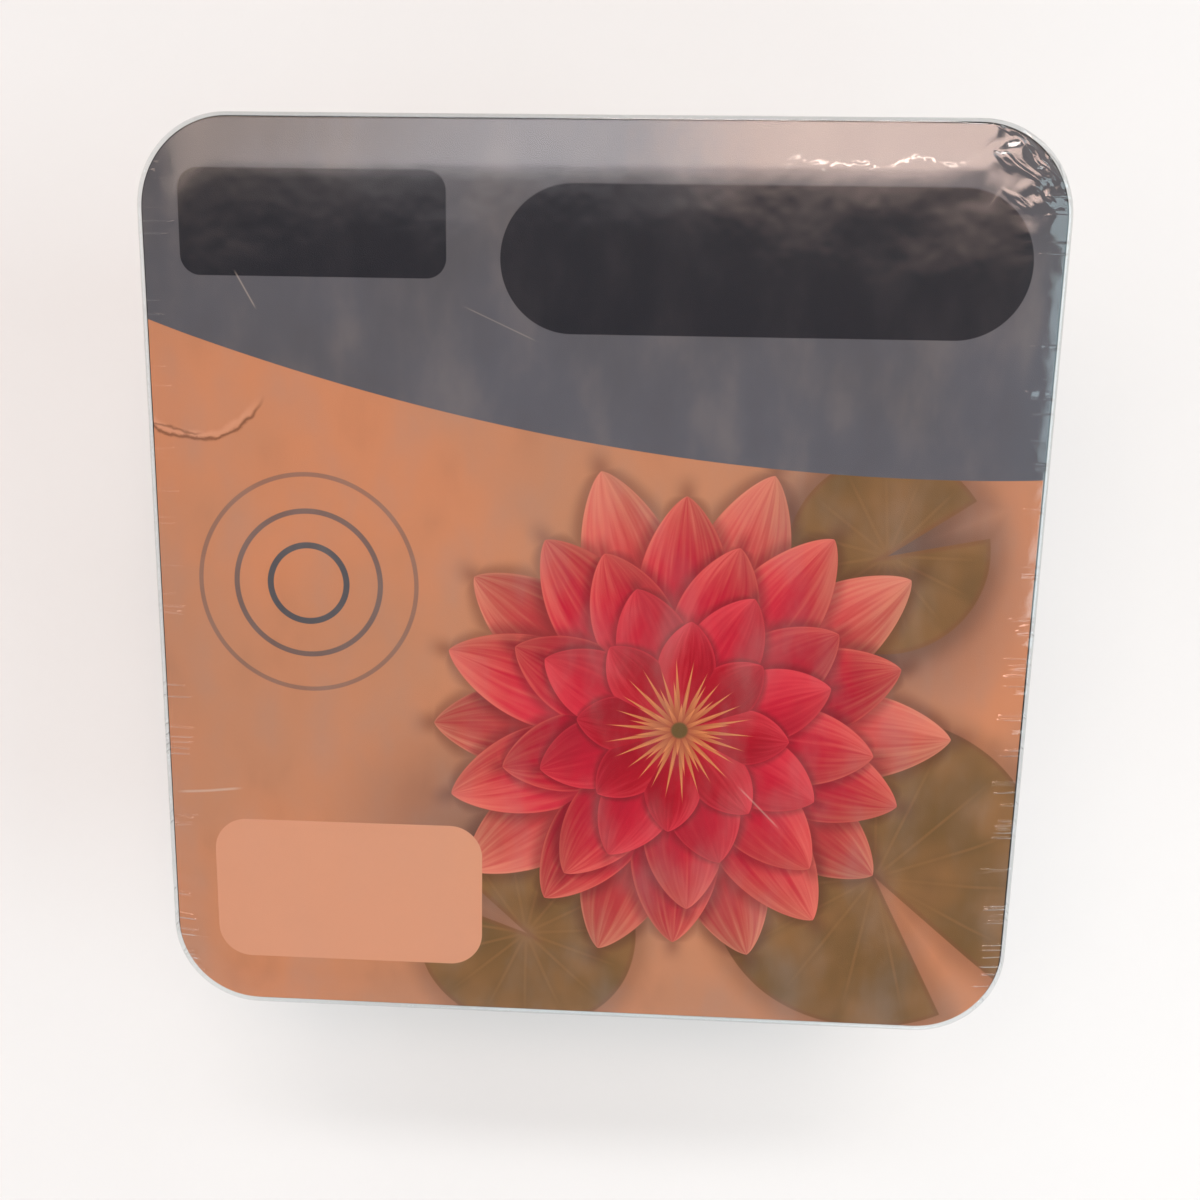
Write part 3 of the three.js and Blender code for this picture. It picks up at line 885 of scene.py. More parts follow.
def card_face(x, y):
    """Height of the printed face: flat inside, bent down along the edge, and a little dished."""
    share_x = np.clip(1 - (x / SAG_HALF[0]) ** 2, 0, 1)
    share_y = np.clip(1 - (y / SAG_HALF[1]) ** 2, 0, 1)
    dish = CARD_SAG * share_x * share_y * (1 + 0.25 * waves(x, y, 0.09, 51))
    return rim_top + SEAT + CARD_THICKNESS - droop(rim_inset(x, y)) - dish - CREASE_DEPTH * crease(x, y)


def spread_sheet(shell, stations, half, radius, insets, height, spacing, finish_number=0):
    """A level sheet with rounded corners: rings along its edge, and a grid inside them."""
    rings = []
    for inset in insets:
        flat = ring(stations, half[0] - inset, half[1] - inset, radius - inset, 0.0)
        rings.append(np.column_stack([flat[:, :2], height(flat[:, 0], flat[:, 1])]))
    shell.table(rings, finish_number=finish_number)
    reach = np.array(half) - insets[-1] - (radius - insets[-1]) * (1 - math.sqrt(0.5)) - spacing
    counts = [int(round(2 * size / spacing)) + 1 for size in reach]
    x, y = np.meshgrid(*(np.linspace(-size, size, count) for size, count in zip(reach, counts)))
    grid = np.dstack([x, y, height(x, y)])
    shell.table(grid, closed=False, finish_number=finish_number)
    border = np.vstack([grid[:-1, -1], grid[-1, :0:-1], grid[:0:-1, 0], grid[0, :-1]])
    start = int(np.argmin(np.abs(np.arctan2(border[:, 1], border[:, 0])
                                 - math.atan2(rings[-1][0, 1], rings[-1][0, 0]))))
    shell.seam(rings[-1], np.roll(border, -start, axis=0), finish_number)
    return rings[0]


def plate(x, y, centre, half, radius):
    """How far inside a rounded plate a point of the print is, in millimetres."""
    over_x = abs(x - centre[0]) - (half[0] - radius)
    over_y = abs(y - centre[1]) - (half[1] - radius)
    outside = hypot(over_x.most(0.0), over_y.most(0.0))
    return radius - outside - over_x.most(over_y).least(0.0)


def spokes(turn, radius, count, offset):
    """Splits the round print into equal wedges. Gives how far out along its own wedge's middle line a
    point is, how far aside of it, and the wedge's own random number."""
    spoke = turn * count + offset
    number = (spoke + 0.5).maths("FLOOR")
    wedge = (spoke - number) * (2 * math.pi / count)
    chance = number.node("ShaderNodeTexWhiteNoise", {"noise_dimensions": "1D"},
                         {"W": number % count + offset * 7 + count * 31})
    return radius * wedge.maths("COSINE"), radius * wedge.maths("SINE"), chance


def rosette(ground, x, y):
    """Draws a red water lily seen from straight above: rings of pointed petals, each ring over the one
    outside it, and thin stamens. The last ring that covers a point gives it its petal."""
    turn = x.maths("ARCTAN2", y, x) / (2 * math.pi) + 1
    radius = hypot(x, y)
    petal, place, covered, shade = (0.0, 0.0, 0.0, 1.0), (0.0, 0.0, 0.0, 1.0), 0.0, 0.0
    for rank, (count, reach, half_width, offset) in enumerate(PETAL_RINGS):
        out, aside, chance = spokes(turn, radius, count, offset)
        along = out / (chance * (reach * 0.1) + reach * 0.94)
        swell = ((along.least(1.0).most(0.0) ** 1.25) * math.pi).maths("SINE").most(0.0) ** 0.7
        width = swell * half_width
        gap = width - abs(aside) - 0.15
        cover = gap.smooth(-0.08, 0.12)
        cast = gap.smooth(-0.075 * reach, 0.0) * along.smooth(1.12, 1.0)
        shade = cast.most(shade) * (1 - cover)
        covered = cover.most(covered)
        petal = cover.mixed(petal, x.at(along, aside / width.most(0.5), chance))
        place = cover.mixed(place, x.at(gap, float(rank)))
    along, side, chance = (petal.part(axis) for axis in (0, 1, 2))
    gap, rank = place.part(0), place.part(1)
    vein = x.at(side * 5, along * 1.6, chance * 47 + rank * 9).noise(1.6, 2.0) - 0.5
    deep = rank.smooth(0.0, 1.0).mixed(PETAL_OUTER, rank.smooth(3.0, 4.0).mixed(PETAL_MAIN, PETAL_INNER))
    tip = rank.smooth(0.0, 1.0).mixed(TIP_OUTER, rank.smooth(1.0, 3.5).mixed(TIP_MAIN, TIP_INNER))
    body = (along + vein * 0.5 + abs(side) * 0.12 - (1 - chance) * 0.12).smooth(0.6, 1.15).mixed(deep, tip)
    lit = (side * 0.35 + 0.5 + (chance - 0.5) * 0.5 + vein * 0.5).smooth(0.0, 1.0)
    body = ((1 - lit) * 0.42).mixed(body, colour(96, 8, 26))
    body = (lit.smooth(0.6, 1.0) * 0.16).mixed(body, colour(238, 96, 104))
    body = (gap.smooth(0.8, 0.1) * 0.3).mixed(body, tip)
    ink = covered.mixed(ground, body)
    ink = (shade * 0.45).mixed(ink, colour(70, 22, 26))
    for count, reach, half_width, offset in STAMEN_RINGS:
        out, aside, chance = spokes(turn, radius, count, offset)
        along = out / (chance * (reach * 0.2) + reach * 0.85)
        gap = (1 - along).least(0.5) * half_width * 2 - abs(aside)
        ink = gap.smooth(-0.06, 0.1).mixed(ink, along.mixed(STAMEN_ROOT, STAMEN_INK))
    return radius.smooth(2.4, 1.6).mixed(ink, colour(96, 74, 30))


def lily_pad(ground, x, y, centre, radius, notch):
    """Draws a round floating leaf with a notch and fine ribs over what is printed so far."""
    over_x, over_y = x - centre[0], y - centre[1]
    turned_x = over_x * math.cos(notch) + over_y * math.sin(notch)
    turned_y = over_y * math.cos(notch) - over_x * math.sin(notch)
    away = hypot(over_x, over_y)
    open_side = abs(turned_y) - turned_x * 0.2
    gap = (radius - away).least(open_side)
    angle = x.maths("ARCTAN2", turned_y, turned_x)
    ribs = abs((angle * 7.5).maths("SINE")) * away / 7.5
    ground = (gap.smooth(-7.0, 0.0) * 0.35).mixed(ground, colour(60, 44, 34))
    leaf = (x.at(x, y).noise(0.05, 2.0).smooth(0.25, 0.75) * 0.6 + 0.2).mixed(PAD_DARK, PAD_LIGHT)
    leaf = (ribs.smooth(0.55, 0.1) * away.smooth(radius, radius * 0.55) * 0.5).mixed(leaf, PAD_LIGHT)
    leaf = ((1 - ribs.smooth(0.0, 2.4)) * 0.25).mixed(leaf, PAD_DARK)
    leaf = (gap.smooth(1.5, 0.4) * 0.5).mixed(leaf, colour(122, 78, 52))
    return gap.smooth(-0.1, 0.15).mixed(ground, leaf)


def thin_line(x, y, start, end, width):
    """A fine line between two points of the print that thins out at both ends."""
    run = np.array(end) - start
    length = float(np.hypot(*run))
    run = run / length
    along = ((x - start[0]) * float(run[0]) + (y - start[1]) * float(run[1])) / length
    aside = abs((y - start[1]) * float(run[0]) - (x - start[0]) * float(run[1]))
    return aside.smooth(width, 0.0) * (0.5 - abs(along - 0.5)).smooth(0.0, 0.2)


def lines(value, low, high):
    """Sparse sharp ridges where a noise passes from low to high and on."""
    return 1 - abs(value - (low + high) / 2).smooth(0.0, (high - low) / 2)


def tan_ground(x, y, cloud):
    """Two tans in soft clouds, with darker shades and ripple rings."""
    ink = cloud.smooth(0.35, 0.65).mixed(TAN_PALE, TAN_WARM)
    for centre, radius, strength in SHADES:
        away = hypot(x - centre[0], y - centre[1])
        ink = (away.smooth(radius, 4.0) * strength).mixed(ink, SHADE_INK)
    away = hypot(x - RIPPLE_CENTRE[0], y - RIPPLE_CENTRE[1])
    for radius, width, strength in RIPPLES:
        ripple = abs(away - radius).smooth(width / 2 + 0.15, width / 2) * strength
        ink = ripple.mixed(ink, GREY_BAND)
    return ink


def grey_band(ink, x, y, cloud):
    """Draws the band over the ground. Its lower edge falls in a shallow bow from left to right."""
    height, slope, bend = BAND_LINE
    over = y - (height - x * slope + x ** 2 * bend)
    band_ink = ((y / 105) + (cloud - 0.5) * 1.6).smooth(0.3, 1.0).mixed(BAND_FOOT, GREY_BAND)
    return over.smooth(-0.1, 0.1).mixed(ink, band_ink)


def painted_crease_shading(ink, x, y, bent, grain):
    """Paints the crease in the left margin: a dark uneven line of painted shade in its fold, a paler flank
    of painted highlight, and a short branch of painted shade.
    """
    off = hypot(x - CREASE_CENTRE[0], y - CREASE_CENTRE[1]) - CREASE_RADIUS
    off = off + (bent - 0.5) * 4.5 + (grain - 0.5) * 0.9
    reach = (CREASE_TOP - y).smooth(0.0, 6.0)
    ink = (abs(off + 1.0).smooth(1.3, 0.0) * reach * 0.4).mixed(ink, colour(222, 164, 134))
    ink = (abs(off).smooth(0.25 + bent * 0.7, 0.05) * reach * 0.7).mixed(ink, colour(96, 58, 40))
    branch = thin_line(x, y + (bent - 0.5) * 5, *CREASE_BRANCH, 0.45)
    return (branch * 0.6).mixed(ink, colour(104, 62, 42))


def painted_bend_glints(ink, x, y, bent):
    """Paints bright specks along the bend at the top right: painted highlights that stand for the film's
    glints there.
    """
    bend_glints = lines(x.at(x * 0.5, y).noise(0.8, 2.0), 0.50, 0.63)
    bend_glints = bend_glints * abs(y - BEND_GLINT_Y + (bent - 0.5) * 7).smooth(1.2, 0.3)
    return (bend_glints * x.within(*BEND_GLINT_REACH)).mixed(ink, colour(252, 242, 234))


def draw_print(place, pads, flower):
    """The card's face: a grey band with two bare plates over a tan ground, and on it a red water lily
    seen from straight above on its floating leaves, ripple rings, and a bare pale panel. Parts of the
    face that the leaves or the flower don't reach go without them."""
    x = place.part(0) * 1000
    y = place.part(1) * 1000
    level = x.at(x, y)
    cloud = level.noise(0.016, 3.0)
    grain = level.noise(4.0, 2.0)
    bent = level.noise(0.13, 3.0)
    blotches = x.at(x, y * 0.5).noise(0.075, 4.0)
    ink = tan_ground(x, y, cloud)
    if pads:
        for centre, radius, notch in PADS:
            ink = lily_pad(ink, x, y, centre, radius, notch)
    if flower:
        ink = rosette(ink, x - FLOWER_CENTRE[0], y - FLOWER_CENTRE[1])
    ink = grey_band(ink, x, y, cloud)
    # long soft blotches: paler grey-pink and darker brown patches over the ground and band
    ink = (blotches.smooth(0.42, 0.8) * 0.22).mixed(ink, colour(150, 138, 132))
    ink = (blotches.smooth(0.48, 0.2) * 0.16).mixed(ink, colour(62, 50, 46))
    for centre, half, radius, filling in PLATES:
        ink = plate(x, y, centre, half, radius).smooth(-0.08, 0.08).mixed(ink, filling)
    # the same blotches, faintly paler, over the plates too
    ink = (blotches.smooth(0.4, 0.8) * 0.04).mixed(ink, colour(156, 146, 144))
    ink = ((grain - 0.5) * 0.12 + 0.04).mixed(ink, colour(96, 90, 94))
    # painted shade in the crease, and a painted highlight on its flank
    ink = painted_crease_shading(ink, x, y, bent, grain)
    # painted highlights: glints of the film along the top bend
    ink = painted_bend_glints(ink, x, y, bent)
    # painted highlights of wrinkles in the film
    for start, end, width, strength in WRINKLE_HIGHLIGHTS:
        ink = (thin_line(x, y, start, end, width) * strength).mixed(ink, colour(206, 190, 176))
    return {
        "Base Color": ink,
        "Roughness": 0.4 + grain * 0.14,
        "Specular IOR Level": 0.15,
        "Normal": place.bump(grain * 0.3 + place.noise(70.0) * 0.7, 0.00012),
    }


def print_part(centre):
    """Which of the print's three finishes a part of the face gets: with leaves, with all, or plain."""
    x, y = centre.x * 1000, centre.y * 1000
    if math.dist((x, y), FLOWER_CENTRE) < FLOWER_SPREAD:
        return 2
    return 1 if any(math.dist((x, y), middle) < radius + PAD_SHADOW for middle, radius, _ in PADS) else 0


def draw_board(place):
    """Grey recycled board: short fibres and flecks."""
    fibre = place.noise(1400.0, 5.0)
    flecks = place.noise(500.0, 1.0).smooth(0.64, 0.7)
    pulp = fibre.mixed(colour(128, 121, 110), colour(170, 163, 151))
    return {
        "Base Color": (flecks * 0.5).mixed(pulp, colour(88, 82, 76)),
        "Roughness": 0.8 + fibre * 0.1,
        "Normal": place.bump(fibre, 0.00005),
    }


card_stations = track(*CARD_STEPS)
card_half = (rim_half[0] - CARD_EDGE, rim_half[1] - CARD_EDGE)
card_radius = RIM_RADIUS - CARD_EDGE
card_insets = (0, 0.0006, 0.0015, 0.0025, 0.0035, 0.0046, 0.0058, 0.007, 0.0083, 0.0097, 0.012, 0.0145)
card_shell = Shell()
face_edge = spread_sheet(card_shell, card_stations, card_half, card_radius, card_insets,
                         card_face, CARD_GRID)
back_edge = spread_sheet(card_shell, card_stations, card_half, card_radius, card_insets,
                         lambda x, y: card_face(x, y) - CARD_THICKNESS, CARD_GRID, 3)
card_shell.table([face_edge, back_edge], finish_number=3)
prints = [finish(name, lambda place, parts=parts: draw_print(place, *parts))
          for name, parts in (("print_plain", (False, False)), ("print_leaves", (True, False)),
                              ("print_flower", (True, True)))]
card = card_shell.piece("die_cut_card", *prints, finish("grey_board", draw_board))
for face in card.data.polygons:
    if face.material_index == 0:
        face.material_index = print_part(face.center)
dressed(card, "printed_card")


# ---- Shrink sleeve ------------------------------------------------------------------------------
# A clear sleeve is shrunk tight over card, basket and base, from the top edge of the print round to its
# foot. At the left and right it draws in to an oval with a rolled rim, from which gathers fan out.

FILM = 0.00012
SHOULDER_ROUND = 0.0012  # of the film over the card's edge
SHOULDER_FALL = 0.0013
EYE_HALF_Y = 0.046
EYE_HALF_Z = 0.023
EYE_HEIGHT = 0.051
EYE_DIP = 0.0018  # how far the rim of the oval is drawn in towards the wall
ROLL_RADIUS = 0.00055
PLEATS = 46
PLEAT_HEIGHT = 0.0011
LAP_HEIGHT = 0.050  # of the lap seam across the foot side
LAP_THICKNESS = 0.0007
LAP_WIDTH = 0.0012
BASE_FOLD = 0.0036  # round of the sleeve along the base's edge
BASE_LIFT = 0.00015
RIDGE_HEIGHT = 0.00026
RIDGE_DENT = 0.00012  # how far the ridges draw the film in on the rim's side
FILM_GRID = 0.0028
CRUMPLE_HEIGHT = 0.0009
RIPPLE_HEIGHT = 0.00005
CORNER_FOLD = 0.00022  # height of the upright folds at the corners
CRUMPLE_CORNER = (0.093, 0.1)  # middle of the spare film's folds, to the right of the print's top edge
CRUMPLE_SPREAD = 0.012
CRINKLE_CORNER = (0.096, 0.101)  # middle of the fine crinkles on those folds
FINE_INSET = 0.014  # the film's finish is wrinkled this far in from the rim,
FINE_SPREAD = 0.02  # and this far round the crumpled corner
FINE_CORNER = (0.094, 0.1)
LIP_GAP = 0.0012  # from the lip down to where the film slants to the base
STRETCHES = {1: (-0.038, 0.034), -1: (-0.062, 0.026)}  # middle and spread of the wrinkles, right and left
CORNER_STEPS, STEPS_X, STEPS_Y = 24, 60, 150  # points round the sleeve: a corner, two kinds of side

film_low, film_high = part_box("shrink_film")
film_half = (film_high.x, film_high.y)
film_radius = RIM_RADIUS + film_half[0] - rim_half[0]
film_lift = film_high.z - (rim_top + SEAT + CARD_THICKNESS)
sleeve_top = lip_bottom - LIP_GAP
sleeve_base = film_low.z + BASE_FOLD


def tension(y, side):
    """Short ridges square to the left or right edge, where the film is pulled round to the oval."""
    random = np.random.default_rng(61 if side > 0 else 62)
    middle, width = STRETCHES[side]
    total = 0
    at = -0.086
    while at < 0.088:
        strength = random.uniform(0.4, 1.0) * (0.16 + 0.84 * math.exp(-((at - middle) / width) ** 2))
        total = total + strength * np.exp(-((y - at) / random.uniform(0.0009, 0.0014)) ** 2)
        at += random.uniform(0.003, 0.0075)
    return total


def crumple(x, y):
    """Sharp folds of spare film at the corner to the right of the print's top edge."""
    near = np.exp(-(np.hypot(x - CRUMPLE_CORNER[0], y - CRUMPLE_CORNER[1]) / CRUMPLE_SPREAD) ** 2)
    folds = 1 - np.abs(waves(x, y, 0.010, 71)) * 1.4
    return near * np.clip(folds, 0, 1)


def film_face(x, y):
    """Height of the sleeve over the card: tight on it, rolled over its edge, lifted by ridges."""
    inset = rim_inset(x, y) + film_half[0] - rim_half[0]
    edge = np.clip(1 - inset / SHOULDER_ROUND, 0, 1)
    fall = SHOULDER_FALL * (1 - np.sqrt(1 - edge ** 2))
    margin = np.clip(1 - np.abs(inset - 0.004) / 0.0075, 0, 1)
    pull = np.where(x > 0, tension(y, 1), tension(y, -1)) * (np.abs(x) > 0.085)
    lift = RIDGE_HEIGHT * pull * margin + CRUMPLE_HEIGHT * crumple(x, y) * np.clip(inset / 0.002, 0, 1)
    ripple = RIPPLE_HEIGHT * waves(x, y, 0.028, 63) * np.clip((inset - 0.006) / 0.01, 0, 1)
    face = card_face(x, y) + film_lift - fall + lift + ripple
    return np.minimum(face, film_high.z)


def side_spread(z):
    """Half-sizes and corner radius of the sleeve's outline at a height below the lip."""
    share = np.clip((z - sleeve_base) / (sleeve_top - sleeve_base), 0, 1)
    inset = (1 - share) * base_inset
    return film_half[0] - inset, film_half[1] - inset, film_radius - inset / 2


def side_ring(stations, z):
    """The sleeve at a height: shallow upright folds at the corners, and the lap seam at the foot side."""
    half_x, half_y, radius = side_spread(z)
    points = ring(stations, half_x, half_y, radius, z)
    corner = np.clip(4 * np.abs(stations[:, 2] * stations[:, 3]) ** 0.8, 0, 1)
    share = (z - sleeve_base) / (sleeve_top - sleeve_base)
    turn = np.arctan2(stations[:, 3], stations[:, 2])
    folds = waves(turn * radius, z * 0.12, 0.0055, 64)
    push = CORNER_FOLD * folds * corner * math.sin(math.pi * min(max(share, 0), 1)) ** 0.5
    foot = np.clip(-stations[:, 3], 0, 1) ** 8
    pucker = 1 + 0.5 * waves(points[:, 0], 0, 0.006, 65)
    push = push + foot * LAP_THICKNESS * np.exp(-((z - LAP_HEIGHT) / LAP_WIDTH) ** 2) * pucker
    points[:, :2] += stations[:, 2:] * push[:, None]
    return points


def eye_panel(shell, columns, side):
    """One side of the sleeve: gathers fan out from a rolled oval rim to the panel's four borders.
    columns holds the panel's border points, anticlockwise seen from outside."""
    border = np.array(columns)
    angles = np.arctan2((border[:, 2] - EYE_HEIGHT) / EYE_HALF_Z, border[:, 1] / EYE_HALF_Y)
    random = np.random.default_rng(81 if side > 0 else 82)
    pleat = np.zeros(len(angles))
    reach = np.zeros(len(angles))
    for index in range(PLEATS):
        at = 2 * math.pi * (index + random.uniform(-0.35, 0.35)) / PLEATS
        off = (angles - at + math.pi) % (2 * math.pi) - math.pi
        shape = np.exp(-np.abs(off / (random.uniform(0.022, 0.042))) ** 1.5)
        pleat += shape * random.uniform(0.35, 1.0)
        reach += shape * random.uniform(0.2, 1.0)
    wobble = 1 + 0.012 * np.sin(3 * angles + side) + 0.010 * np.sin(7 * angles) - 0.012 * pleat
    oval = np.column_stack([angles * 0, EYE_HALF_Y * wobble * np.cos(angles),
                            EYE_HEIGHT + EYE_HALF_Z * wobble * np.sin(angles)])
    oval[:, 0] = side * side_spread(oval[:, 2])[0]
    outward = np.array([side, 0, 0])
    rows = []
    for share in np.linspace(0, 1, 18) ** 0.8:
        points = border * (1 - share) + oval * share
        close = np.clip((share - 0.12) / 0.88, 0, 1)
        near = close ** (1.2 + 2.6 * np.clip(1 - reach, 0, 1))
        push = PLEAT_HEIGHT * (pleat - 0.35) * near - EYE_DIP * close ** 3
        rows.append(points + push[:, None] * outward)
    inward = np.column_stack([angles * 0, -np.cos(angles), -np.sin(angles)])
    rim = rows[-1]
    for turn in np.linspace(0, 1.6 * math.pi, 8)[1:]:
        rows.append(rim + ROLL_RADIUS * (math.sin(turn) * inward + (1 - math.cos(turn)) * outward))
    shell.table(rows)


def sleeve():
    shell = Shell()
    stations = track(CORNER_STEPS, STEPS_X, STEPS_Y)
    top_insets = (0, 0.00005, 0.0002, 0.00045, 0.0008, 0.0012, 0.0018, 0.0026, 0.0036, 0.0047, 0.006,
                  0.0075, 0.0093, 0.0115, 0.0145)
    edge = spread_sheet(shell, stations, film_half, film_radius, top_insets, film_face, FILM_GRID)
    band = [edge]
    for share in np.linspace(0, 1, 7)[1:]:
        z = edge[:, 2] * (1 - share) + lip_bottom * share
        points = ring(stations, *film_half, film_radius, z)
        sideways = np.abs(stations[:, 2]) > 0.99
        pull = np.where(points[:, 0] > 0, tension(points[:, 1], 1), tension(points[:, 1], -1)) * sideways
        points[:, 0] -= np.sign(points[:, 0]) * RIDGE_DENT * pull * math.sin(math.pi * share)
        band.append(points)
    levels = np.unique(np.concatenate([np.linspace(sleeve_base, sleeve_top, 30),
                                       LAP_HEIGHT + np.linspace(-0.0024, 0.0024, 7)]))[::-1]
    sides = [side_ring(stations, z) for z in levels]
    band.append(sides[0])
    shell.table(band)
    sides = np.array(sides)
    first_left = 2 * CORNER_STEPS + STEPS_X
    last = len(stations)
    left = slice(first_left, first_left + STEPS_Y + 1)
    right = np.r_[last - STEPS_Y:last, 0]
    shell.table(sides[:, :first_left + 1], closed=False)
    shell.table(sides[:, first_left + STEPS_Y:last - STEPS_Y + 1], closed=False)
    for panel, side in ((sides[:, left], -1), (sides[:, right], 1)):
        border = np.vstack([panel[0, :-1], panel[:-1, -1], panel[-1, :0:-1], panel[:0:-1, 0]])
        eye_panel(shell, border, side)
    foot = []
    for angle in np.linspace(math.pi / 2, 0, 6):
        drawn_in = BASE_FOLD * (1 - math.sin(angle))
        z = film_low.z + BASE_LIFT + (BASE_FOLD - BASE_LIFT) * (1 - math.cos(angle))
        foot.append(ring(stations, film_half[0] - base_inset - drawn_in,
                         film_half[1] - base_inset - drawn_in, film_radius - base_inset / 2 - drawn_in, z))
    foot[0] = sides[-1]
    shell.table(foot)
    shell.lid(foot[-1])
    return shell


def edge_wrinkles(x, y, z, fine):
    """Fine wrinkles square to the left and right edges of the face, most of them near its foot."""
    tight = lines(x.at(x * 0.05, y, z * 0.05).noise(330.0, 1.0), 0.56, 0.66)
    tight = tight * (abs(x) + (fine - 0.5) * 0.010).smooth(0.0955, 0.0985)
    return tight * (0.25 + y.smooth(0.01, -0.02) * 0.75)


def corner_crinkles(x, y, z):
    """Sharp crinkles that run aslant over the crumpled corner."""
    slanted = x.at((x * 0.8 - y * 0.6) * 0.3, x * 0.6 + y * 0.8, z)
    away = hypot(x - CRINKLE_CORNER[0], y - CRINKLE_CORNER[1])
    return lines(slanted.noise(170.0, 2.0), 0.42, 0.56) * away.smooth(0.016, 0.005)


def eye_gathers(x, y, z):
    """Gathers that fan out from the rim of the oval at each side."""
    share_y, share_z = y / EYE_HALF_Y, (z - EYE_HEIGHT) / EYE_HALF_Z
    turn = x.maths("ARCTAN2", share_z, share_y)
    reach = hypot(share_y, share_z)
    fan = x.at(turn.maths("COSINE"), turn.maths("SINE"), reach * 0.06 + x * 9)
    sides = abs(x).smooth(0.078, 0.082) * (abs(y) - abs(x)).smooth(0.006, 0.0)
    return lines(fan.noise(9.0, 2.0), 0.44, 0.56) * sides * reach.smooth(2.6, 0.9)


def end_folds(x, y, z):
    """Folds that are pulled aslant across the walls at the print's top edge and foot."""
    slack = x.at(x + (z - 0.05) * x * 3.0, y, z * 0.09)
    ends = (abs(y) - abs(x)).smooth(0.0, 0.006) * abs(x).smooth(0.02, 0.085)
    return lines(slack.noise(85.0, 1.0), 0.50, 0.62) * ends


def lap_seam(y, z, fine):
    """The two edges of the lap seam across the foot side, a little uneven."""
    seam = lines(z, LAP_HEIGHT - 0.0016, LAP_HEIGHT) + lines(z, LAP_HEIGHT, LAP_HEIGHT + 0.003) * 0.6
    return seam * y.smooth(-0.084, -0.086) * (fine * 0.6 + 0.7)


def draw_clear_film(place, wrinkled):
    """Clear shrink film: what lies under it shows, with the studio mirrored in its wavy surface. Only
    the margin and the walls are wrinkled."""
    fine = place.noise(210.0, 1.0)
    height = place.noise(34.0, 2.0) * 0.4 + fine * 0.1
    if wrinkled:
        x, y, z = (place.part(axis) for axis in (0, 1, 2))
        flat = z.smooth(0.0905, 0.0935)
        swell = x.at(x, y, z * 0.06).noise(120.0, 2.0) * 0.6
        walls = swell + eye_gathers(x, y, z) * 0.8 + end_folds(x, y, z) * 0.8
        height = height + edge_wrinkles(x, y, z, fine) * flat + walls * (1 - flat)
        height = height + corner_crinkles(x, y, z) * 0.7 + lap_seam(y, z, fine)
    relief = place.bump(height, 0.0004)
    clear = place.node("ShaderNodeBsdfTransparent", None, {0: (0.97, 0.98, 0.98, 1.0)})
    gloss = place.node("ShaderNodeBsdfGlossy", None, {"Roughness": 0.07, "Normal": relief})
    return place.node("ShaderNodeMixShader", None, {0: place.mirroring(relief), 1: clear, 2: gloss})


def draw_film_inside(place):
    """The sleeve's inner side, which the outer side's mirroring stands for too."""
    return place.node("ShaderNodeBsdfTransparent", None, {0: (0.99, 0.995, 0.995, 1.0)})


film_inside = finish("film_inside", draw_film_inside)
clear_film = finish("clear_film", lambda place: draw_clear_film(place, False))
wrinkled_film = finish("wrinkled_film", lambda place: draw_clear_film(place, True))
film = sleeve().piece("clear_shrink_sleeve", clear_film, wrinkled_film, film_inside, film_inside, sharp=80)
for face in film.data.polygons:
    inner = face.center.z > lip_bottom and rim_inset(face.center.x, face.center.y) > FINE_INSET
    face.material_index = 0 if inner and math.dist(face.center.xy, FINE_CORNER) > FINE_SPREAD else 1
film_skin = film.modifiers.new("film", "SOLIDIFY")
film_skin.thickness = FILM
film_skin.offset = -1
film_skin.material_offset = 2
film_skin.material_offset_rim = 2
dressed(film, "shrink_film")


# ---- Studio -------------------------------------------------------------------------------------
# A plain pale floor under soft light: three lamps at the sides and the foot, and a sky that is dim
# straight above, with a window and a strip behind the print's top edge, which the bent margin mirrors.

FLOOR_DROP = 0.0002
FLOOR_REACH = 4.0
LAMP_TINT = (0.7, 0.93, 1.0)
LAMPS = (("right_lamp", (1.15, 0.05, 0.8), (0.9, 0.7), 3.6),  # place, size, radiance
         ("left_lamp", (-1.4, -0.1, 0.6), (0.5, 0.8), 1.6),
         ("foot_lamp", (0.2, -1.5, 0.7), (1.0, 0.6), 2.1))
SKY_ABOVE = (0.045, 0.045, 0.047, 1.0)
SKY_AROUND = ((0.36, 0.37, 0.39, 1.0), (0.74, 0.76, 0.8, 1.0))  # the darker and the brighter panels
PANE_LEFT = (3.1, 2.4, 2.0, 1.0)
PANE_MIDDLE = (4.4, 4.25, 4.45, 1.0)
PANE_RIGHT = (9.8, 7.15, 6.1, 1.0)
STRIP_LIGHT = (6.0, 6.6, 6.9, 1.0)
STRIP_GLINT = (26.0, 23.0, 22.0, 1.0)  # of its brightest stretch


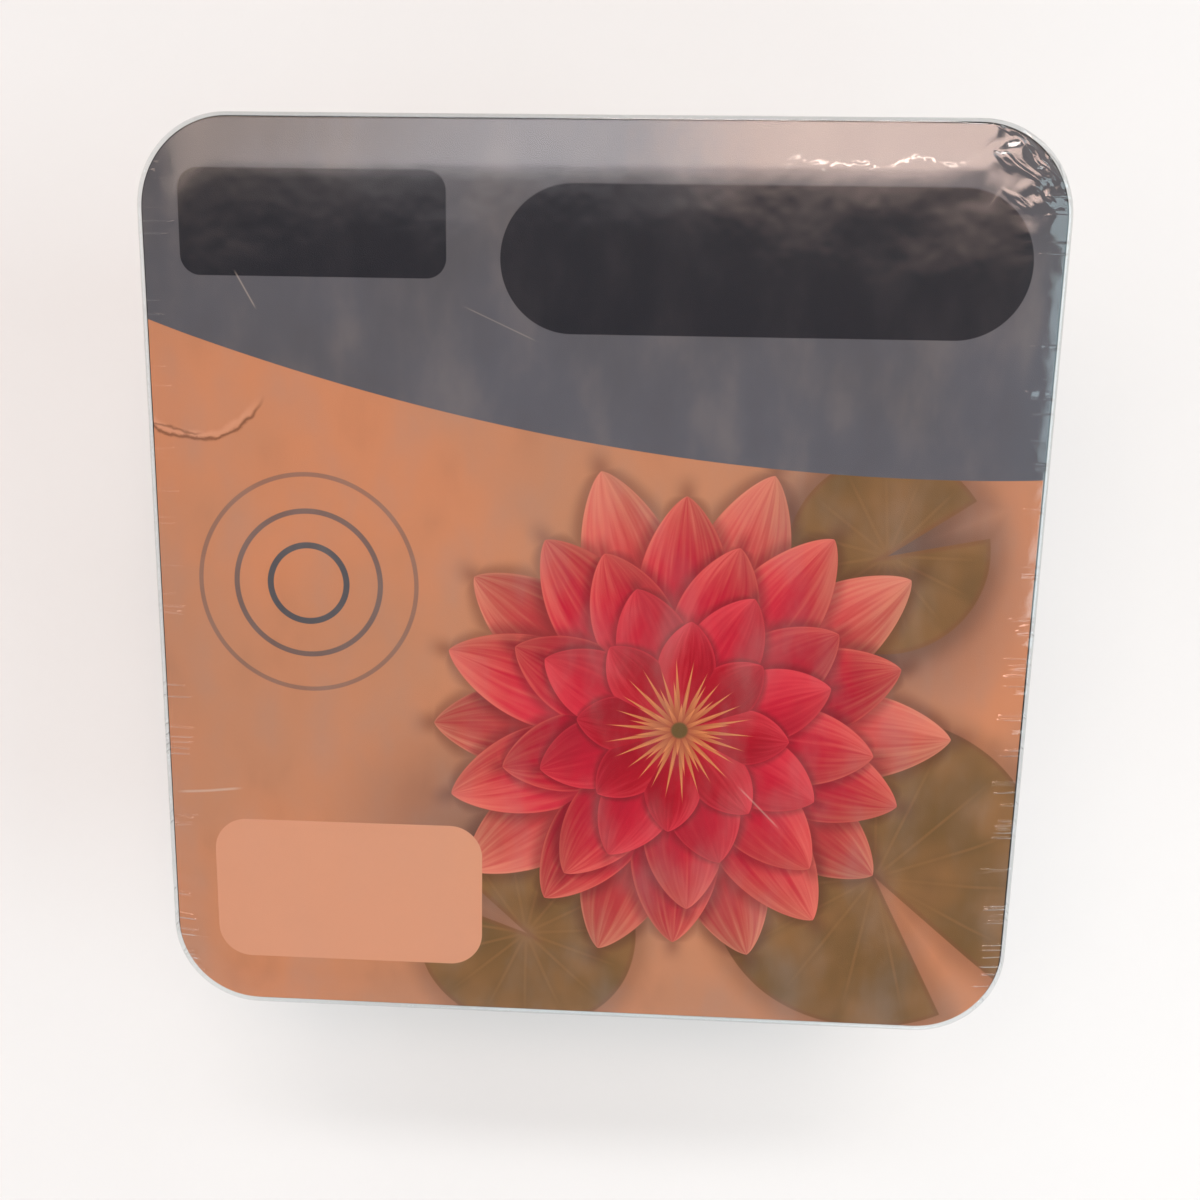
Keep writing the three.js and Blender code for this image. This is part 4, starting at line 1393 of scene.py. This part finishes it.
def softbox(name, place, size, radiance):
    """A soft lamp aimed at the pack's face."""
    lamp = bpy.data.lights.new(name, "AREA")
    lamp.shape = "RECTANGLE"
    lamp.size, lamp.size_y = size
    lamp.energy = radiance * math.pi * size[0] * size[1]
    lamp.color = LAMP_TINT
    made = bpy.data.objects.new(name, lamp)
    made.matrix_world = aimed(Vector(place), Vector((0, 0, 0.08)))
    bpy.context.scene.collection.objects.link(made)


def pale_floor():
    shell = Shell()
    shell.table([[(x, y, -FLOOR_DROP) for x in (-FLOOR_REACH, FLOOR_REACH)]
                 for y in (-FLOOR_REACH, FLOOR_REACH)], closed=False)
    return shell


def draw_floor(place):
    cloth = place.noise(6.0, 3.0)
    return {"Base Color": cloth.mixed(colour(213, 218, 219), colour(220, 225, 226)), "Roughness": 0.85}


floor = pale_floor().piece("floor", finish("pale_floor", draw_floor))

for lamp in LAMPS:
    softbox(*lamp)

sky = bpy.data.worlds.new("sky")
sky.use_nodes = True
sky.node_tree.nodes.clear()
direction = Wire(sky.node_tree).node("ShaderNodeTexCoord", output="Generated")
rise = direction.part(2)
plan_x, plan_y = direction.part(0) / rise.most(0.05), direction.part(1) / rise.most(0.05)
panels = (direction.part(0) * 5.0 + direction.part(1) * 3.0).maths("SINE").smooth(-0.8, 0.8)
glow = rise.smooth(0.4, 0.8).mixed(panels.mixed(*SKY_AROUND), SKY_ABOVE)
window = plan_y.within(0.11, 0.35, 0.75, 0.9) * plan_x.within(-0.87, -0.65, 0.45, 0.65)
pane = plan_x.smooth(-0.45, -0.1).mixed(PANE_LEFT, PANE_MIDDLE)
pane = plan_x.smooth(-0.06, 0.13).mixed(pane, PANE_RIGHT)
glow = (window * rise.smooth(0.3, 0.4)).mixed(glow, pane)
strip = plan_y.within(1.0, 1.06, 1.2, 1.26) * plan_x.within(-0.6, -0.4, 0.8, 1.0)
glint = plan_x.within(-0.14, -0.04, 0.36, 0.46)
glow = (strip * rise.smooth(0.3, 0.4)).mixed(glow, glint.mixed(STRIP_LIGHT, STRIP_GLINT))
background = direction.node("ShaderNodeBackground", None, {"Color": glow})
direction.node("ShaderNodeOutputWorld", None, {"Surface": background})
bpy.context.scene.world = sky
bpy.context.scene.view_settings.view_transform = "Standard"
